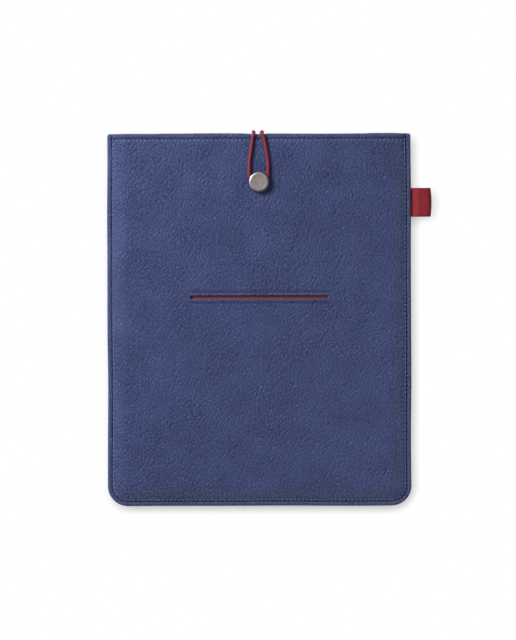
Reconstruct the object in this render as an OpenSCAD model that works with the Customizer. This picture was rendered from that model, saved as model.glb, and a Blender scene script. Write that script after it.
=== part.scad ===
// Padded leather tablet sleeve with a slot pocket, a pen loop and an elastic cord hooked on a button.
// The sleeve lies on its back: X is its width, +Y points to the mouth, Z is its thickness.
// The origin is the middle of the flat back face.

/* [Sleeve] */
// Width across the two side seams
sleeve_w = 220; // [190:1:260]
// Length from the bottom seam to the mouth
sleeve_l = 270; // [240:1:320]
// Radius of the bottom corners, which is also the run of the padded shoulder
corner_r = 14.5; // [13:0.5:22]
// Rounding of the two corners at the mouth
mouth_corner_r = 2; // [1:0.5:2.5]
// Height of the space for the tablet
cavity_h = 8; // [6:0.5:14]
// How far the front lip stays behind the back one
lip_setback = 0.3; // [0.1:0.1:1]

/* [Layers] */
// Thickness of the leather
leather_t = 1.2; // [0.9:0.1:1.8]
// Thickness of the foam padding
padding_t = 2; // [1.8:0.1:4]
// Thickness of the lining cloth
lining_t = 0.4; // [0.2:0.1:0.8]
// How far the front lining ends behind the front lip
lining_setback = 1; // [0.5:0.5:3]

/* [Seams] */
// Distance of the side and bottom stitches from the edge
seam_inset = 3.2; // [2.9:0.1:4.2]
// Width of the leather turned in along the sides and the bottom
seam_allowance = 6; // [5.5:0.5:8]
// Distance of each mouth stitch line from its lip
mouth_inset = 4; // [3:0.5:6]
// Depth of the hem turned in at the mouth
hem_depth = 8; // [7.5:0.5:12]
// Width of the groove that the stitches pull into the leather
groove_w = 1.2; // [1:0.1:1.6]
// Depth of that groove
groove_d = 0.4; // [0.2:0.1:0.6]
// Thickness of the sewing thread
thread_d = 0.6; // [0.4:0.1:0.8]

/* [Slot pocket] */
// Length of the slot
slot_l = 100; // [60:1:140]
// Width of the slot
slot_w = 2.4; // [1.6:0.1:4]
// Distance of the slot from the mouth
slot_drop = 118.8; // [100:0.1:130]
// Distance between the two stitch lines along the slot
slot_stitch_gap = 8; // [6.5:0.5:12]
// How far the stitch lines run past each end of the slot
slot_stitch_over = 0.8; // [0.5:0.1:2]
// How far the pocket bag reaches past each end of the slot
pocket_margin = 6; // [4:1:12]
// Depth of the pocket bag below the slot
pocket_depth = 90; // [40:1:110]
// Thickness of the pocket cloth
pocket_cloth_t = 0.3; // [0.2:0.05:0.4]
// Room between the two plies of the pocket
pocket_room = 0.4; // [0.3:0.1:0.8]
// Distance of the bag's seam from the cloth's edge
pocket_seam_inset = 2; // [1.5:0.5:4]

/* [Button] */
// Diameter of the button's cap
button_d = 15; // [14:0.5:20]
// Height of the cap
button_h = 2; // [1.8:0.1:3]
// Distance of the button from the mouth
button_drop = 35.5; // [30:0.5:60]
// Diameter of the collar that the cord hooks round
collar_d = 9.1; // [6:0.1:9.5]
// Diameter of the tack pin
pin_d = 2.4; // [1.8:0.1:3]
// Diameter of the backing washer
washer_d = 10; // [8:0.5:14]
// Thickness of the backing washer
washer_t = 0.6; // [0.4:0.1:0.7]
// How far the washer stands out round the pin's head
washer_margin = 0.75; // [0.5:0.05:1.5]
// Thickness of the pin's head
pin_head_t = 0.6; // [0.4:0.1:0.7]
// How far the pin's tip is flared out inside the button
tip_flare = 0.6; // [0.4:0.05:0.9]
// Thickness of the flared tip
pin_tip_t = 0.3; // [0.2:0.05:0.4]
// Sheet thickness of the cap's shell
cap_sheet_t = 0.4; // [0.3:0.1:0.6]
// How much thicker the shell's wall is where it is crimped
crimp_t = 0.15; // [0.05:0.05:0.3]
// Thickness of the lip that is crimped under the base
bearing_t = 0.4; // [0.3:0.05:0.5]
// How far that lip reaches in under the base
crimp_w = 0.9; // [0.5:0.1:1.4]
// Depth of the dish in the cap's face
dish_depth = 0.2; // [0.1:0.05:0.3]
// Width of the raised rim round the dish
cap_rim_w = 1.6; // [1.2:0.1:2.5]
// Width of the slope from the rim down into the dish
dish_slope_w = 0.6; // [0.3:0.1:1]

/* [Elastic cord] */
// Diameter of the elastic cord
cord_d = 2.5; // [1.8:0.1:3]
// Distance between the two tails where they leave the back hem
tail_gap = 5.5; // [4:0.5:8]
// Length of each tail inside the hem
tail_l = 7; // [6.5:0.5:7]
// Diameter of the tails, squeezed flat by the hem
tail_d = 1.7; // [1.2:0.1:1.7]
// How deep the taut cord pulls into the soft lips
cord_dent = 0.4; // [0.2:0.1:0.8]

/* [Pen loop] */
// Width of the ribbon
pen_loop_w = 20.4; // [12:0.2:30]
// How far the loop stands out of the seam
pen_loop_reach = 14.5; // [13:0.5:20]
// Distance of the loop's middle from the mouth
pen_loop_drop = 50; // [30:1:120]
// Height of the gap inside the loop
pen_loop_gap = 5; // [4.5:0.5:7]
// Thickness of the ribbon
ribbon_t = 0.9; // [0.6:0.1:1.2]

/* [Clearances] */
// Room round a cord or a ribbon that moves
soft_gap = 0.15; // [0.1:0.05:0.3]
// Room under the cord where it runs over the front
cord_lift = 0.2; // [0.1:0.05:0.4]
// Running clearance of the button on its pin, on each side
swivel_gap = 0.05; // [0.03:0.01:0.08]
// Room between the collar and the cap that turns above it
cap_gap = 0.1; // [0.05:0.01:0.2]
// Room between a riser and the strand that it turns into
turn_gap = 0.05; // [0.03:0.01:0.1]
// Slack of the bight round the collar
bight_slack = 0.1; // [0.05:0.05:0.3]

/* [Hidden] */
$fn = 64;

// Heights are measured from the middle of the sleeve's thickness, and the back mirrors the front.
half_t = cavity_h / 2 + lining_t + padding_t + leather_t;
top_z = 2 * half_t;
rim_t = lining_t + 2 * leather_t;
stitch_r = corner_r - seam_inset;
turn_r = corner_r - seam_allowance;
lining_r = stitch_r + groove_w / 2;
bead_rise = 0.1;
bead_share = 0.8; // the bead's radius, as a share of the two leathers
bead_r = bead_share * 2 * leather_t;
bead_z = rim_t + bead_rise - bead_r;
shoulder_steps = 11;
through = 1; // how far a cut runs past the face that it opens

flat_w = sleeve_w - 2 * corner_r;
mouth_y = sleeve_l / 2;
corner_y = -sleeve_l / 2 + corner_r;
front_mouth_y = mouth_y - lip_setback;

slot_y = mouth_y - slot_drop;
pocket_w = slot_l + 2 * pocket_margin;
pocket_header = slot_stitch_gap / 2 + pocket_seam_inset;
ply_z = half_t - leather_t - pocket_cloth_t;
back_ply_z = ply_z - pocket_room - pocket_cloth_t;

button_y = mouth_y - button_drop;
collar_h = cord_lift + cord_d + cap_gap;
cap_z = top_z + collar_h + cap_gap;
pin_tip_d = pin_d + 2 * tip_flare;
pin_head_d = washer_d - 2 * washer_margin;
base_d = button_d - 2 * (cap_sheet_t + crimp_t);

tail_z = leather_t + padding_t / 2;
cord_z = top_z + cord_lift + cord_d / 2;
cord_y = mouth_y - cord_dent + soft_gap + cord_d / 2;
cord_x = -0.85;
dent_w = 14;
dent_slope = 2.5;

pen_y = mouth_y - pen_loop_drop;
pen_pivot_x = sleeve_w / 2 + ribbon_t + soft_gap;
pen_arc_x = sleeve_w / 2 + pen_loop_reach - pen_loop_gap / 2 - ribbon_t;
pen_flare = 4.5;
pen_root_inset = 0.5;
pen_root_l = seam_allowance - pen_root_inset;

// The strands over the front: share of the way from the lip to the bight, left x, right x.
strand_route = [
    [0, -4.1, 2.8], [0.12, -4.6, 3.5], [0.27, -5.1, 4.4], [0.45, -5.7, 5.25],
    [0.6, -6.3, 5.9], [0.73, -6.8, 6.4], [0.87, -7, 6.6], [1, -7, 6.6]
];
// Where the strands turn over the lip: left x, right x.
lip_x = [-3.9, 2.4];
// The bight's two legs: distance above the button's centre, left x, right x.
leg_route = [[9, -7, 6.6], [6, -7, 6.6], [3, -6.65, 6.45]];
bight_y = button_y + leg_route[0][0];
bight_r = collar_d / 2 + soft_gap + cord_d / 2 + bight_slack;
cord_sides = 8;

leather_colour = [0.29, 0.33, 0.47];
thread_colour = [0.13, 0.15, 0.25];
lining_colour = [0.55, 0.16, 0.2];
cord_colour = [0.62, 0.17, 0.22];
foam_colour = [0.35, 0.35, 0.36];
metal_colour = [0.6, 0.58, 0.58];

// ---- Profiles of one half, as [distance past the flat middle, height above the mid-plane] ----

function fall(t) = (1 - cos(180 * min(t, 1))) / 2;
function outer_h(r) = half_t - (half_t - rim_t) * fall(r / stitch_r);
function lining_h(r) = lining_t + cavity_h / 2 * (1 - fall(r / turn_r));
function steps(to) = [for (i = [0:shoulder_steps]) to * i / shoulder_steps];
function reversed(list) = [for (i = [len(list) - 1:-1:0]) list[i]];
function raised(path, by) = [for (p = path) [p[0], p[1] + by]];

// The leather's outer face: shoulder, stitch groove, puffed bead and rounded edge
function shoulder_path() = [for (r = steps(stitch_r - groove_w / 2)) [r, outer_h(r)]];
function groove_path() = [
    [stitch_r - groove_w / 4, rim_t - groove_d],
    [stitch_r + groove_w / 4, rim_t - groove_d],
    [stitch_r + groove_w / 2, rim_t]
];
function bead_path() = concat(
    [for (a = [90:-15:0]) [corner_r - bead_r + bead_r * cos(a), bead_z + bead_r * sin(a)]],
    [for (a = [-30:-30:-90]) [corner_r - bead_z + bead_z * cos(a), bead_z + bead_z * sin(a)]]
);
function leather_outer() = concat(shoulder_path(), groove_path(), bead_path());
// The rim's underside steps over the lining's edge, which the seam holds
function rim_under() = [[lining_r, 0], [lining_r, lining_t], [turn_r, lining_t]];
function under_leather() = [for (r = steps(turn_r)) [r, outer_h(r) - leather_t]];
function over_lining() = [for (r = steps(turn_r)) [r, lining_h(r)]];

function leather_section() = concat(leather_outer(), rim_under(), reversed(under_leather()));
function hem_section() = concat(leather_outer(), rim_under(), reversed(over_lining()));
function padding_section() = concat(under_leather(), reversed(over_lining()));
function lining_section() = concat(
    over_lining(),
    [[lining_r, lining_t], [lining_r, 0]],
    reversed(raised(over_lining(), -lining_t))
);
// A skin on the shoulder, from one depth to another, for what is sewn across the mouth
function skin_section(low, high) = concat(
    raised(shoulder_path(), high), reversed(raised(shoulder_path(), low)));

// The section of the whole width: the right half, and its mirror image on the left
function both_sides(section) = concat(
    [for (p = section) [flat_w / 2 + p[0], p[1]]],
    [for (p = reversed(section)) [-flat_w / 2 - p[0], p[1]]]
);

// ---- Sweeps that every layer shares ----

// A full-width section, from y_low up to y_high
module across(section, y_low, y_high) {
    translate([0, y_high, 0])
        rotate([90, 0, 0])
            linear_extrude(y_high - y_low) polygon(both_sides(section));
}

// A section carried up one side, round the bottom and up the other side
module round_edge(section, y_high) {
    for (side = [0, 1])
        mirror([side, 0, 0]) {
            translate([flat_w / 2, y_high, 0])
                rotate([90, 0, 0])
                    linear_extrude(y_high - corner_y) polygon(section);
            translate([flat_w / 2, corner_y, 0])
                rotate([0, 0, -90])
                    rotate_extrude(angle = 90) polygon(section);
        }
    translate([flat_w / 2, corner_y, 0])
        rotate([90, 0, -90])
            linear_extrude(flat_w) polygon(section);
}

// A whole layer: the section round its edge, and the flat middle
module layer(section, y_high) {
    low = section[len(section) - 1][1];
    union() {
        translate([-flat_w / 2, corner_y, low])
            cube([flat_w, y_high - corner_y, section[0][1] - low]);
        round_edge(section, y_high);
    }
}

module front_half() {
    translate([0, 0, half_t]) children();
}

module back_half() {
    translate([0, 0, half_t]) mirror([0, 0, 1]) children();
}

// ---- Cuts that several layers share ----

module mouth_corner_cuts(y_high) {
    for (side = [0, 1])
        mirror([side, 0, 0])
            translate([sleeve_w / 2 - mouth_corner_r, y_high - mouth_corner_r, -through])
                difference() {
                    cube([2 * mouth_corner_r, 2 * mouth_corner_r, half_t + 2 * through]);
                    cylinder(r = mouth_corner_r, h = half_t + 2 * through);
                }
}

// The shallow dent that the taut cord pulls into a lip
module lip_dent(y_high) {
    translate([cord_x, y_high, -through])
        linear_extrude(half_t + 2 * through)
            polygon([
                [-dent_w / 2, through], [-dent_w / 2, 0], [-dent_w / 2 + dent_slope, -cord_dent],
                [dent_w / 2 - dent_slope, -cord_dent], [dent_w / 2, 0], [dent_w / 2, through]
            ]);
}

module pen_root_box() {
    translate([sleeve_w / 2 - pen_root_l, pen_y - pen_loop_w / 2, -ribbon_t])
        cube([pen_root_l, pen_loop_w, 2 * ribbon_t]);
}

module slot_shape(width, height) {
    for (side = [-1, 1])
        translate([side * (slot_l - slot_w) / 2, 0, 0]) cylinder(d = width, h = height);
    translate([-(slot_l - slot_w) / 2, -width / 2, 0]) cube([slot_l - slot_w, width, height]);
}

module slot_stitch_lines(width, low, high) {
    length = slot_l + 2 * slot_stitch_over;
    for (side = [-1, 1])
        translate([-length / 2, slot_y + side * slot_stitch_gap / 2 - width / 2, low])
            cube([length, width, high - low]);
}

module tail_places() {
    for (side = [-1, 1])
        translate([cord_x + side * tail_gap / 2, mouth_y - cord_dent, tail_z])
            rotate([90, 0, 0]) children();
}

module tack_block() {
    width = tail_gap + tail_d + 2 * thread_d;
    translate([cord_x - width / 2, mouth_y - mouth_inset - 2 * thread_d, leather_t])
        translate([0, -thread_d, 0]) cube([width, 2 * thread_d, padding_t]);
}

// ---- Shell ----

module panel_leather(y_high) {
    difference() {
        union() {
            layer(leather_section(), y_high - hem_depth);
            across(hem_section(), y_high - hem_depth, y_high);
        }
        mouth_corner_cuts(y_high);
        lip_dent(y_high);
        across(
            skin_section(-groove_d, through),
            y_high - mouth_inset - groove_w / 2,
            y_high - mouth_inset + groove_w / 2);
        pen_root_box();
    }
}

module back_panel() {
    color(leather_colour) difference() {
        back_half() panel_leather(mouth_y);
        tail_places() cylinder(d = tail_d, h = tail_l);
        tack_block();
    }
}

module front_panel() {
    color(leather_colour) front_half() difference() {
        panel_leather(front_mouth_y);
        translate([0, slot_y, half_t - leather_t - through])
            slot_shape(slot_w, leather_t + 2 * through);
        slot_stitch_lines(groove_w, half_t - groove_d, half_t + through);
        translate([0, button_y, half_t - leather_t - through])
            cylinder(d = pin_d, h = leather_t + 2 * through);
    }
}

module panel_padding(y_high) {
    layer(padding_section(), y_high - hem_depth);
}

module back_padding() {
    color(foam_colour) back_half() panel_padding(mouth_y);
}

module front_padding() {
    color(foam_colour) front_half() difference() {
        panel_padding(front_mouth_y);
        translate([-pocket_w / 2, slot_y - pocket_depth, back_ply_z])
            cube([pocket_w, pocket_depth + pocket_header, padding_t]);
        translate([0, button_y, half_t - leather_t - washer_t - pin_head_t])
            cylinder(d = washer_d, h = padding_t);
    }
}

module panel_lining(y_high) {
    difference() {
        layer(lining_section(), y_high);
        pen_root_box();
        lip_dent(y_high);
    }
}

module back_lining() {
    color(lining_colour) back_half() panel_lining(mouth_y);
}

module front_lining() {
    color(lining_colour) front_half() panel_lining(front_mouth_y - lining_setback);
}

// ---- Slot pocket, in the front half ----

module pocket_front_ply() {
    color(lining_colour) front_half()
        translate([-pocket_w / 2, slot_y - pocket_depth, ply_z])
            cube([pocket_w, pocket_depth - slot_w / 2, pocket_cloth_t]);
}

module pocket_back_ply() {
    color(lining_colour) front_half() {
        translate([-pocket_w / 2, slot_y - pocket_depth, back_ply_z])
            cube([pocket_w, pocket_depth + pocket_header, pocket_cloth_t]);
        translate([-pocket_w / 2, slot_y + slot_w / 2, back_ply_z])
            cube([pocket_w, pocket_header - slot_w / 2, half_t - leather_t - back_ply_z]);
    }
}

module pocket_thread() {
    seam_w = pocket_w - 2 * pocket_seam_inset;
    seam_h = pocket_depth - pocket_seam_inset - slot_w / 2;
    color(thread_colour) front_half()
        translate([0, slot_y - pocket_depth + pocket_seam_inset, back_ply_z + pocket_cloth_t])
            linear_extrude(pocket_room) difference() {
                translate([-seam_w / 2, 0]) square([seam_w, seam_h]);
                translate([-seam_w / 2 + thread_d, thread_d])
                    square([seam_w - 2 * thread_d, seam_h]);
            }
}

module slot_thread() {
    color(thread_colour) front_half()
        slot_stitch_lines(thread_d, half_t - groove_d, half_t - groove_d + thread_d);
}

// ---- Stitching ----

thread_section = [for (a = [22.5:45:360])
    [stitch_r + thread_d / 2 * cos(a), rim_t - groove_d + thread_d / 2 * (sin(a) + cos(22.5))]];

module mouth_thread(y_high) {
    across(
        skin_section(-groove_d, 0),
        y_high - mouth_inset - thread_d / 2,
        y_high - mouth_inset + thread_d / 2);
}

module seam_thread_front() {
    color(thread_colour) front_half() round_edge(thread_section, front_mouth_y);
}

module seam_thread_back() {
    color(thread_colour) back_half() round_edge(thread_section, mouth_y);
}

module mouth_thread_front() {
    color(thread_colour) front_half() mouth_thread(front_mouth_y);
}

module mouth_thread_back() {
    color(thread_colour) back_half() mouth_thread(mouth_y);
}

// ---- Pen loop ----

module pen_loop_root() {
    color(cord_colour) front_half() pen_root_box();
}

// Half the ribbon's spread at a share t of the flare, on its outer and its inner face
function ribbon_out(t) = ribbon_t + pen_loop_gap / 2 * fall(t);
function ribbon_in(t) = pen_loop_gap / 2 * fall(t);
function ribbon_side(from, outside) = [for (t = [from:(1 - from) / 8:1.001])
    [pen_pivot_x + pen_flare * t, outside ? ribbon_out(t) : ribbon_in(t)]];
function ribbon_end(r) = [for (a = [90:-15:0]) [pen_arc_x + r * cos(a), r * sin(a)]];
function lower(path) = [for (p = reversed(path)) [p[0], -p[1]]];

module pen_loop() {
    nose = [for (a = [120:30:240]) [pen_pivot_x + ribbon_t * cos(a), ribbon_t * sin(a)]];
    outside = concat(ribbon_side(0, true), ribbon_end(pen_loop_gap / 2 + ribbon_t));
    inside = concat(ribbon_side(0.15, false), ribbon_end(pen_loop_gap / 2));
    color(cord_colour) front_half()
        translate([0, pen_y + pen_loop_w / 2, 0])
            rotate([90, 0, 0])
                linear_extrude(pen_loop_w) difference() {
                    polygon(concat(outside, lower(outside), reversed(nose)));
                    polygon(concat(inside, lower(inside)));
                }
}

// ---- Elastic cord ----

function unit(v) = v / norm(v);
// Direction of a flat route at point i
function heading(route, i) =
    unit(route[min(i + 1, len(route) - 1)] - route[max(i - 1, 0)]);

// A round tube along a route that stays at one height; its two ends are square to Y
module tube(route, height, d) {
    n = len(route);
    rings = [for (i = [0:n - 1])
        let (along = i == 0 || i == n - 1 ? [0, sign(heading(route, i)[1])] : heading(route, i))
        for (k = [0:cord_sides - 1])
            let (a = 360 * (k + 0.5) / cord_sides)
            [route[i][0] - along[1] * cos(a) * d / 2,
             route[i][1] + along[0] * cos(a) * d / 2,
             height + sin(a) * d / 2]];
    walls = [for (i = [0:n - 2]) for (k = [0:cord_sides - 1])
        let (next = (k + 1) % cord_sides)
        [i * cord_sides + k, i * cord_sides + next,
         (i + 1) * cord_sides + next, (i + 1) * cord_sides + k]];
    first = [for (k = [cord_sides - 1:-1:0]) k];
    last = [for (k = [0:cord_sides - 1]) (n - 1) * cord_sides + k];
    polyhedron(points = rings, faces = concat([first, last], walls), convexity = 4);
}

module cord_tails() {
    color(cord_colour) tail_places() cylinder(d = tail_d, h = tail_l);
}

module cord_tack() {
    color(thread_colour) difference() {
        tack_block();
        tail_places() cylinder(d = tail_d, h = tail_l);
    }
}

// A round bar with round ends, from one end's centre to the other's
module capsule(d, length) {
    rotate_extrude() polygon(concat(
        [for (a = [-90:15:0]) [abs(a) == 90 ? 0 : d / 2 * cos(a), d / 2 * sin(a)]],
        [for (a = [0:15:90]) [abs(a) == 90 ? 0 : d / 2 * cos(a), length + d / 2 * sin(a)]]
    ));
}

// Two risers cross the mouth, with a round end at each hinge line
module cord_riser() {
    rise = cord_z - tail_z;
    color(cord_colour) for (k = [0, 1]) {
        foot_x = cord_x + (2 * k - 1) * tail_gap / 2;
        lean = atan2(lip_x[k] - foot_x, rise);
        translate([foot_x, cord_y, tail_z])
            rotate([0, lean, 0]) capsule(cord_d, rise / cos(lean));
    }
}

module cord_strands() {
    start_y = cord_y - cord_d / 2 - turn_gap;
    color(cord_colour) for (k = [1, 2])
        tube([for (p = strand_route) [p[k], start_y + p[0] * (bight_y - start_y)]], cord_z, cord_d);
}

module cord_bight() {
    left = [for (p = leg_route) [p[1], button_y + p[0]]];
    right = [for (p = reversed(leg_route)) [p[2], button_y + p[0]]];
    turn = [for (a = [180:20:360]) [bight_r * cos(a), button_y + bight_r * sin(a)]];
    color(cord_colour) tube(concat(left, turn, right), cord_z, cord_d);
}

// ---- Button ----

module on_button(z) {
    translate([0, button_y, z]) children();
}

// Pressed shell: a dished face inside a rounded rim, crimped under the base
module button_cap() {
    r = button_d / 2;
    round_r = button_h / 2;
    seat_h = button_h - cap_sheet_t;
    dish_h = button_h - dish_depth;
    lip_r = base_d / 2 - crimp_w;
    color(metal_colour) on_button(cap_z) rotate_extrude(convexity = 4)
        polygon(concat(
            [[0, seat_h], [0, dish_h], [r - cap_rim_w - dish_slope_w, dish_h], [r - cap_rim_w, button_h]],
            [for (a = [75:-15:-75]) [r - round_r + round_r * cos(a), round_r * (1 + sin(a))]],
            [[r - round_r, 0], [lip_r, 0], [lip_r, bearing_t]],
            [[base_d / 2, bearing_t], [base_d / 2, seat_h]]
        ));
}

module button_base() {
    seat_h = button_h - cap_sheet_t;
    chamber_h = seat_h - pin_tip_t - 2 * swivel_gap;
    color(metal_colour) on_button(cap_z) rotate_extrude(convexity = 4)
        polygon([
            [pin_d / 2 + swivel_gap, 0], [collar_d / 2, 0], [collar_d / 2, bearing_t],
            [base_d / 2, bearing_t], [base_d / 2, seat_h],
            [pin_tip_d / 2 + swivel_gap, seat_h], [pin_tip_d / 2 + swivel_gap, chamber_h],
            [pin_d / 2 + swivel_gap, chamber_h]
        ]);
}

module button_collar() {
    color(metal_colour) on_button(top_z) difference() {
        cylinder(d = collar_d, h = collar_h);
        translate([0, 0, -through]) cylinder(d = pin_d, h = collar_h + 2 * through);
    }
}

// The pin's head sits under the washer, and its flared tip is caught inside the button's base
module tack_pin() {
    head_z = top_z - leather_t - washer_t - pin_head_t;
    tip_z = cap_z + button_h - cap_sheet_t - pin_tip_t - swivel_gap;
    color(metal_colour) {
        on_button(head_z) cylinder(d = pin_head_d, h = pin_head_t);
        on_button(head_z) cylinder(d = pin_d, h = tip_z - head_z + pin_tip_t);
        on_button(tip_z) cylinder(d = pin_tip_d, h = pin_tip_t);
    }
}

module tack_washer() {
    color(metal_colour) on_button(top_z - leather_t - washer_t) difference() {
        cylinder(d = washer_d, h = washer_t);
        translate([0, 0, -through]) cylinder(d = pin_d, h = washer_t + 2 * through);
    }
}

back_panel();
front_panel();
back_padding();
front_padding();
back_lining();
front_lining();
pocket_front_ply();
pocket_back_ply();
pocket_thread();
slot_thread();
seam_thread_front();
seam_thread_back();
mouth_thread_front();
mouth_thread_back();
pen_loop_root();
pen_loop();
cord_tails();
cord_tack();
cord_riser();
cord_strands();
cord_bight();
button_cap();
button_base();
button_collar();
tack_pin();
tack_washer();
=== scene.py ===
import math
import bpy
import bmesh
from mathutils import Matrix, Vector, noise


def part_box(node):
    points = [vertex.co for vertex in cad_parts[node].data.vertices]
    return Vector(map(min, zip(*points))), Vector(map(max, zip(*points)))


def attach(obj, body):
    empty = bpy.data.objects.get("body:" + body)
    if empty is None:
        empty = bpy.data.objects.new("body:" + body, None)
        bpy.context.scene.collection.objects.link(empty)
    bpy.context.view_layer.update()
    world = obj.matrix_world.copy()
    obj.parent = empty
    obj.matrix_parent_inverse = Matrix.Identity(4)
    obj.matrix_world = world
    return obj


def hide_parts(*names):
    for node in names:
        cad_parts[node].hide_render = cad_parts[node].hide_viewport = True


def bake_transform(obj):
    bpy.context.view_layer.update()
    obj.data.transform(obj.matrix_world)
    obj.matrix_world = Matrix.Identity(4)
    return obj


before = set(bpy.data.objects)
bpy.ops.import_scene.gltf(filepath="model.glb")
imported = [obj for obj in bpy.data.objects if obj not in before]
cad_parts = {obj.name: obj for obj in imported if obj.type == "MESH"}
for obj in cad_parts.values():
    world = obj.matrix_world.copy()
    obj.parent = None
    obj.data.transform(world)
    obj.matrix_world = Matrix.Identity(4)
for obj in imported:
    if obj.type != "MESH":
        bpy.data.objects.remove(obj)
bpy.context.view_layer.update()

mm = 0.001               # the dictionaries below are in millimetres, Blender works in metres
scene = bpy.context.scene
scene.view_settings.view_transform = "Standard"


# what the frame says, in millimetres
def boxOf(node):
    low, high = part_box(node)
    return low / mm, high / mm


frontLow, frontHigh = boxOf("front_panel")
backHigh = boxOf("back_panel")[1]
foamHigh = boxOf("front_padding")[1]
liningHigh = boxOf("front_lining")[1]
collarLow, collarHigh = boxOf("button_collar")
capLow = boxOf("button_cap")[0]

sleeve = {
    "cornerRadius": 14.5,      # bottom corners, and the run of the padded shoulder
    "seamInset": 3.6,          # side and bottom stitches from the edge
    "turnIn": 6.0,             # leather turned in along the sides
    "mouthInset": 4.0,         # mouth stitches from the lip
    "hemDepth": 8.0,
    "liningThickness": 0.4,
    "lipRound": 1.6,           # how round the folded lip is
    "lipCorner": 1.2,          # rounding of the two mouth corners
    "fullness": 0.55,          # how steeply the padding drops at the seam
    "cordDent": 0.4,           # how far the taut cord pulls the lips in
    "cordDentFrom": 4.5,       # full between here and the cord's middle
    "cordDentFade": 2.5,       # and gone this much further out
    "cordDentDepth": 9.0,
    "cordDentX": -0.85,
    "outlineWander": 0.384,    # how far the cut edge wanders from a straight line
    "wanderLength": (52, 47),  # over which length, along the bottom and up the sides
    "frontSwell": 0.75,        # soft rise and fall of the padded front
    "backSwell": 0.375,
}
halfWidth = frontHigh.x
midZ = frontLow.z
halfThick = frontHigh.z - midZ
frontLip, backLip = frontHigh.y, backHigh.y
leatherThick = frontHigh.z - foamHigh.z
liningRise = liningHigh.z - midZ
flatHalf = halfWidth - sleeve["cornerRadius"]
cornerY = frontLow.y + sleeve["cornerRadius"]
stitchR = sleeve["cornerRadius"] - sleeve["seamInset"]
turnR = sleeve["cornerRadius"] - sleeve["turnIn"]
rimThick = sleeve["liningThickness"] + 2 * leatherThick
buttonX, buttonY = 0.0, (collarLow.y + collarHigh.y) / 2

stitching = {
    "pitch": 3.0,              # hole to hole along the sides
    "corner": 6,               # stitches round each bottom corner
    "inset": 0.8,              # the thread lies this far inside the pressed line
    "grooveHalf": 0.75,
    "grooveDepth": 0.4,
    "holeHalf": 0.65,
    "holeDepth": 0.35,
    "puffHeight": 0.2,         # leather puffs up beside each stitch
    "puffOffset": 1.35,
    "puffHalf": 0.8,
    "beadPuff": 0.15,          # and between the seam and the cut edge
    "seamDeep": 0.35,          # how deep each seam is pressed beside the plain depths above
    "mouthDeep": 1.5,
    "slotDeep": 0.8,
    "mouthPress": 0.5,         # a wide, soft press under the mouth seam
    "mouthPressHalf": 1.9,
    "slotPress": 0.12,
    "slotPressHalf": 1.6,
    "seamThread": 0.12,        # how deep the thread lies in the seam and in the mouth's seam
    "mouthThread": 0.54,
    "threadThickness": 0.62,
    "stitchShare": 0.66,
    "holeSize": 0.85,
    "holeSink": 0.2,
    "arch": 0.32,
    "sink": 0.16,
    "slant": 5.0,              # degrees either way
    "seed": 4,
}
slot = {
    "y": 16.2,
    "half": 50.0,
    "width": 2.4,
    "stitchGap": 8.0,
    "stitchOver": 0.8,
    "reach": 3.4,              # rows inside this distance make room for the opening
    "lipRise": 0.28,
    "lipRiseAt": 0.75,
    "lipRiseHalf": 0.8,
    "edgeRound": 0.5,
    "edgeDrop": 0.7,
}


# ---- camera, light and floor ----

studio = {
    "aim": (-0.98, -0.25),     # the point under the middle of the image
    "tall": 464.3,             # what the image's height takes in
    "distance": 2600.0,
    "sensor": 36.0,
    "clip": (0.1, 20.0),       # metres
    "roll": -0.15,             # degrees
    "keyFrom": (-0.53, 0.41, 0.575),
    "keySize": 0.34,
    "keyPower": 10.6,
    "worldStrength": 0.47,
    "mirrored": (0.22, 1.5),   # what a metal mirrors: away from the key light, and towards it
    "mirroredFrom": 0.45,
    "floorSize": 8.0,
    "floorDrop": 0.05,
    "floorColour": (0.86, 0.86, 0.86),
    # to the camera the floor is plain white, with only a painted shadow close to the sleeve on it
    "shadeReach": 10.5,
    "shadeLean": (-0.45, 0.65, 0.6),
    "shadeFrom": 0.25,
    "shadeTo": 0.93,
    "shadeDark": 0.30,
}
white = (1, 1, 1)


def addNode(tree, kind, inputs=None, **settings):
    # inputs: the socket or the value that each of the node's sockets gets
    node = tree.nodes.new(kind)
    for key, value in settings.items():
        setattr(node, key, value)
    for key, value in (inputs or {}).items():
        socket = node.inputs[key]
        if isinstance(value, bpy.types.NodeSocket):
            tree.links.new(value, socket)
        else:
            socket.default_value = (*value, 1) if socket.type == "RGBA" else value
    return node


def mathNode(tree, operation, a, b=0.0):
    return addNode(tree, "ShaderNodeMath", {0: a, 1: b}, operation=operation).outputs[0]


def vectorNode(tree, operation, inputs):
    return addNode(tree, "ShaderNodeVectorMath", inputs, operation=operation).outputs


def mapRange(tree, value, fromLow, fromHigh, toLow=0.0, toHigh=1.0, kind="LINEAR"):
    return addNode(tree, "ShaderNodeMapRange", {
        "Value": value, "From Min": fromLow, "From Max": fromHigh, "To Min": toLow, "To Max": toHigh,
    }, interpolation_type=kind).outputs["Result"]


def mixShader(tree, share, first, second):
    return addNode(tree, "ShaderNodeMixShader", {0: share, 1: first, 2: second}).outputs[0]


def directRay(tree):
    # 1 for what the camera, a mirror or a glass sees
    ray = addNode(tree, "ShaderNodeLightPath").outputs
    seen = mathNode(tree, "MAXIMUM", ray["Is Camera Ray"], ray["Is Glossy Ray"])
    return mathNode(tree, "MAXIMUM", seen, ray["Is Transmission Ray"])


def addObject(name, data):
    made = bpy.data.objects.new(name, data)
    scene.collection.objects.link(made)
    return made


def makeCamera():
    data = bpy.data.cameras.new("camera")
    data.sensor_width = studio["sensor"]
    data.lens = studio["sensor"] * studio["distance"] / studio["tall"]
    data.clip_start, data.clip_end = studio["clip"]
    eye = addObject("camera", data)
    eye.location = (studio["aim"][0] * mm, studio["aim"][1] * mm, (midZ + studio["distance"]) * mm)
    eye.rotation_euler.z = math.radians(studio["roll"])
    scene.camera = eye


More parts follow.
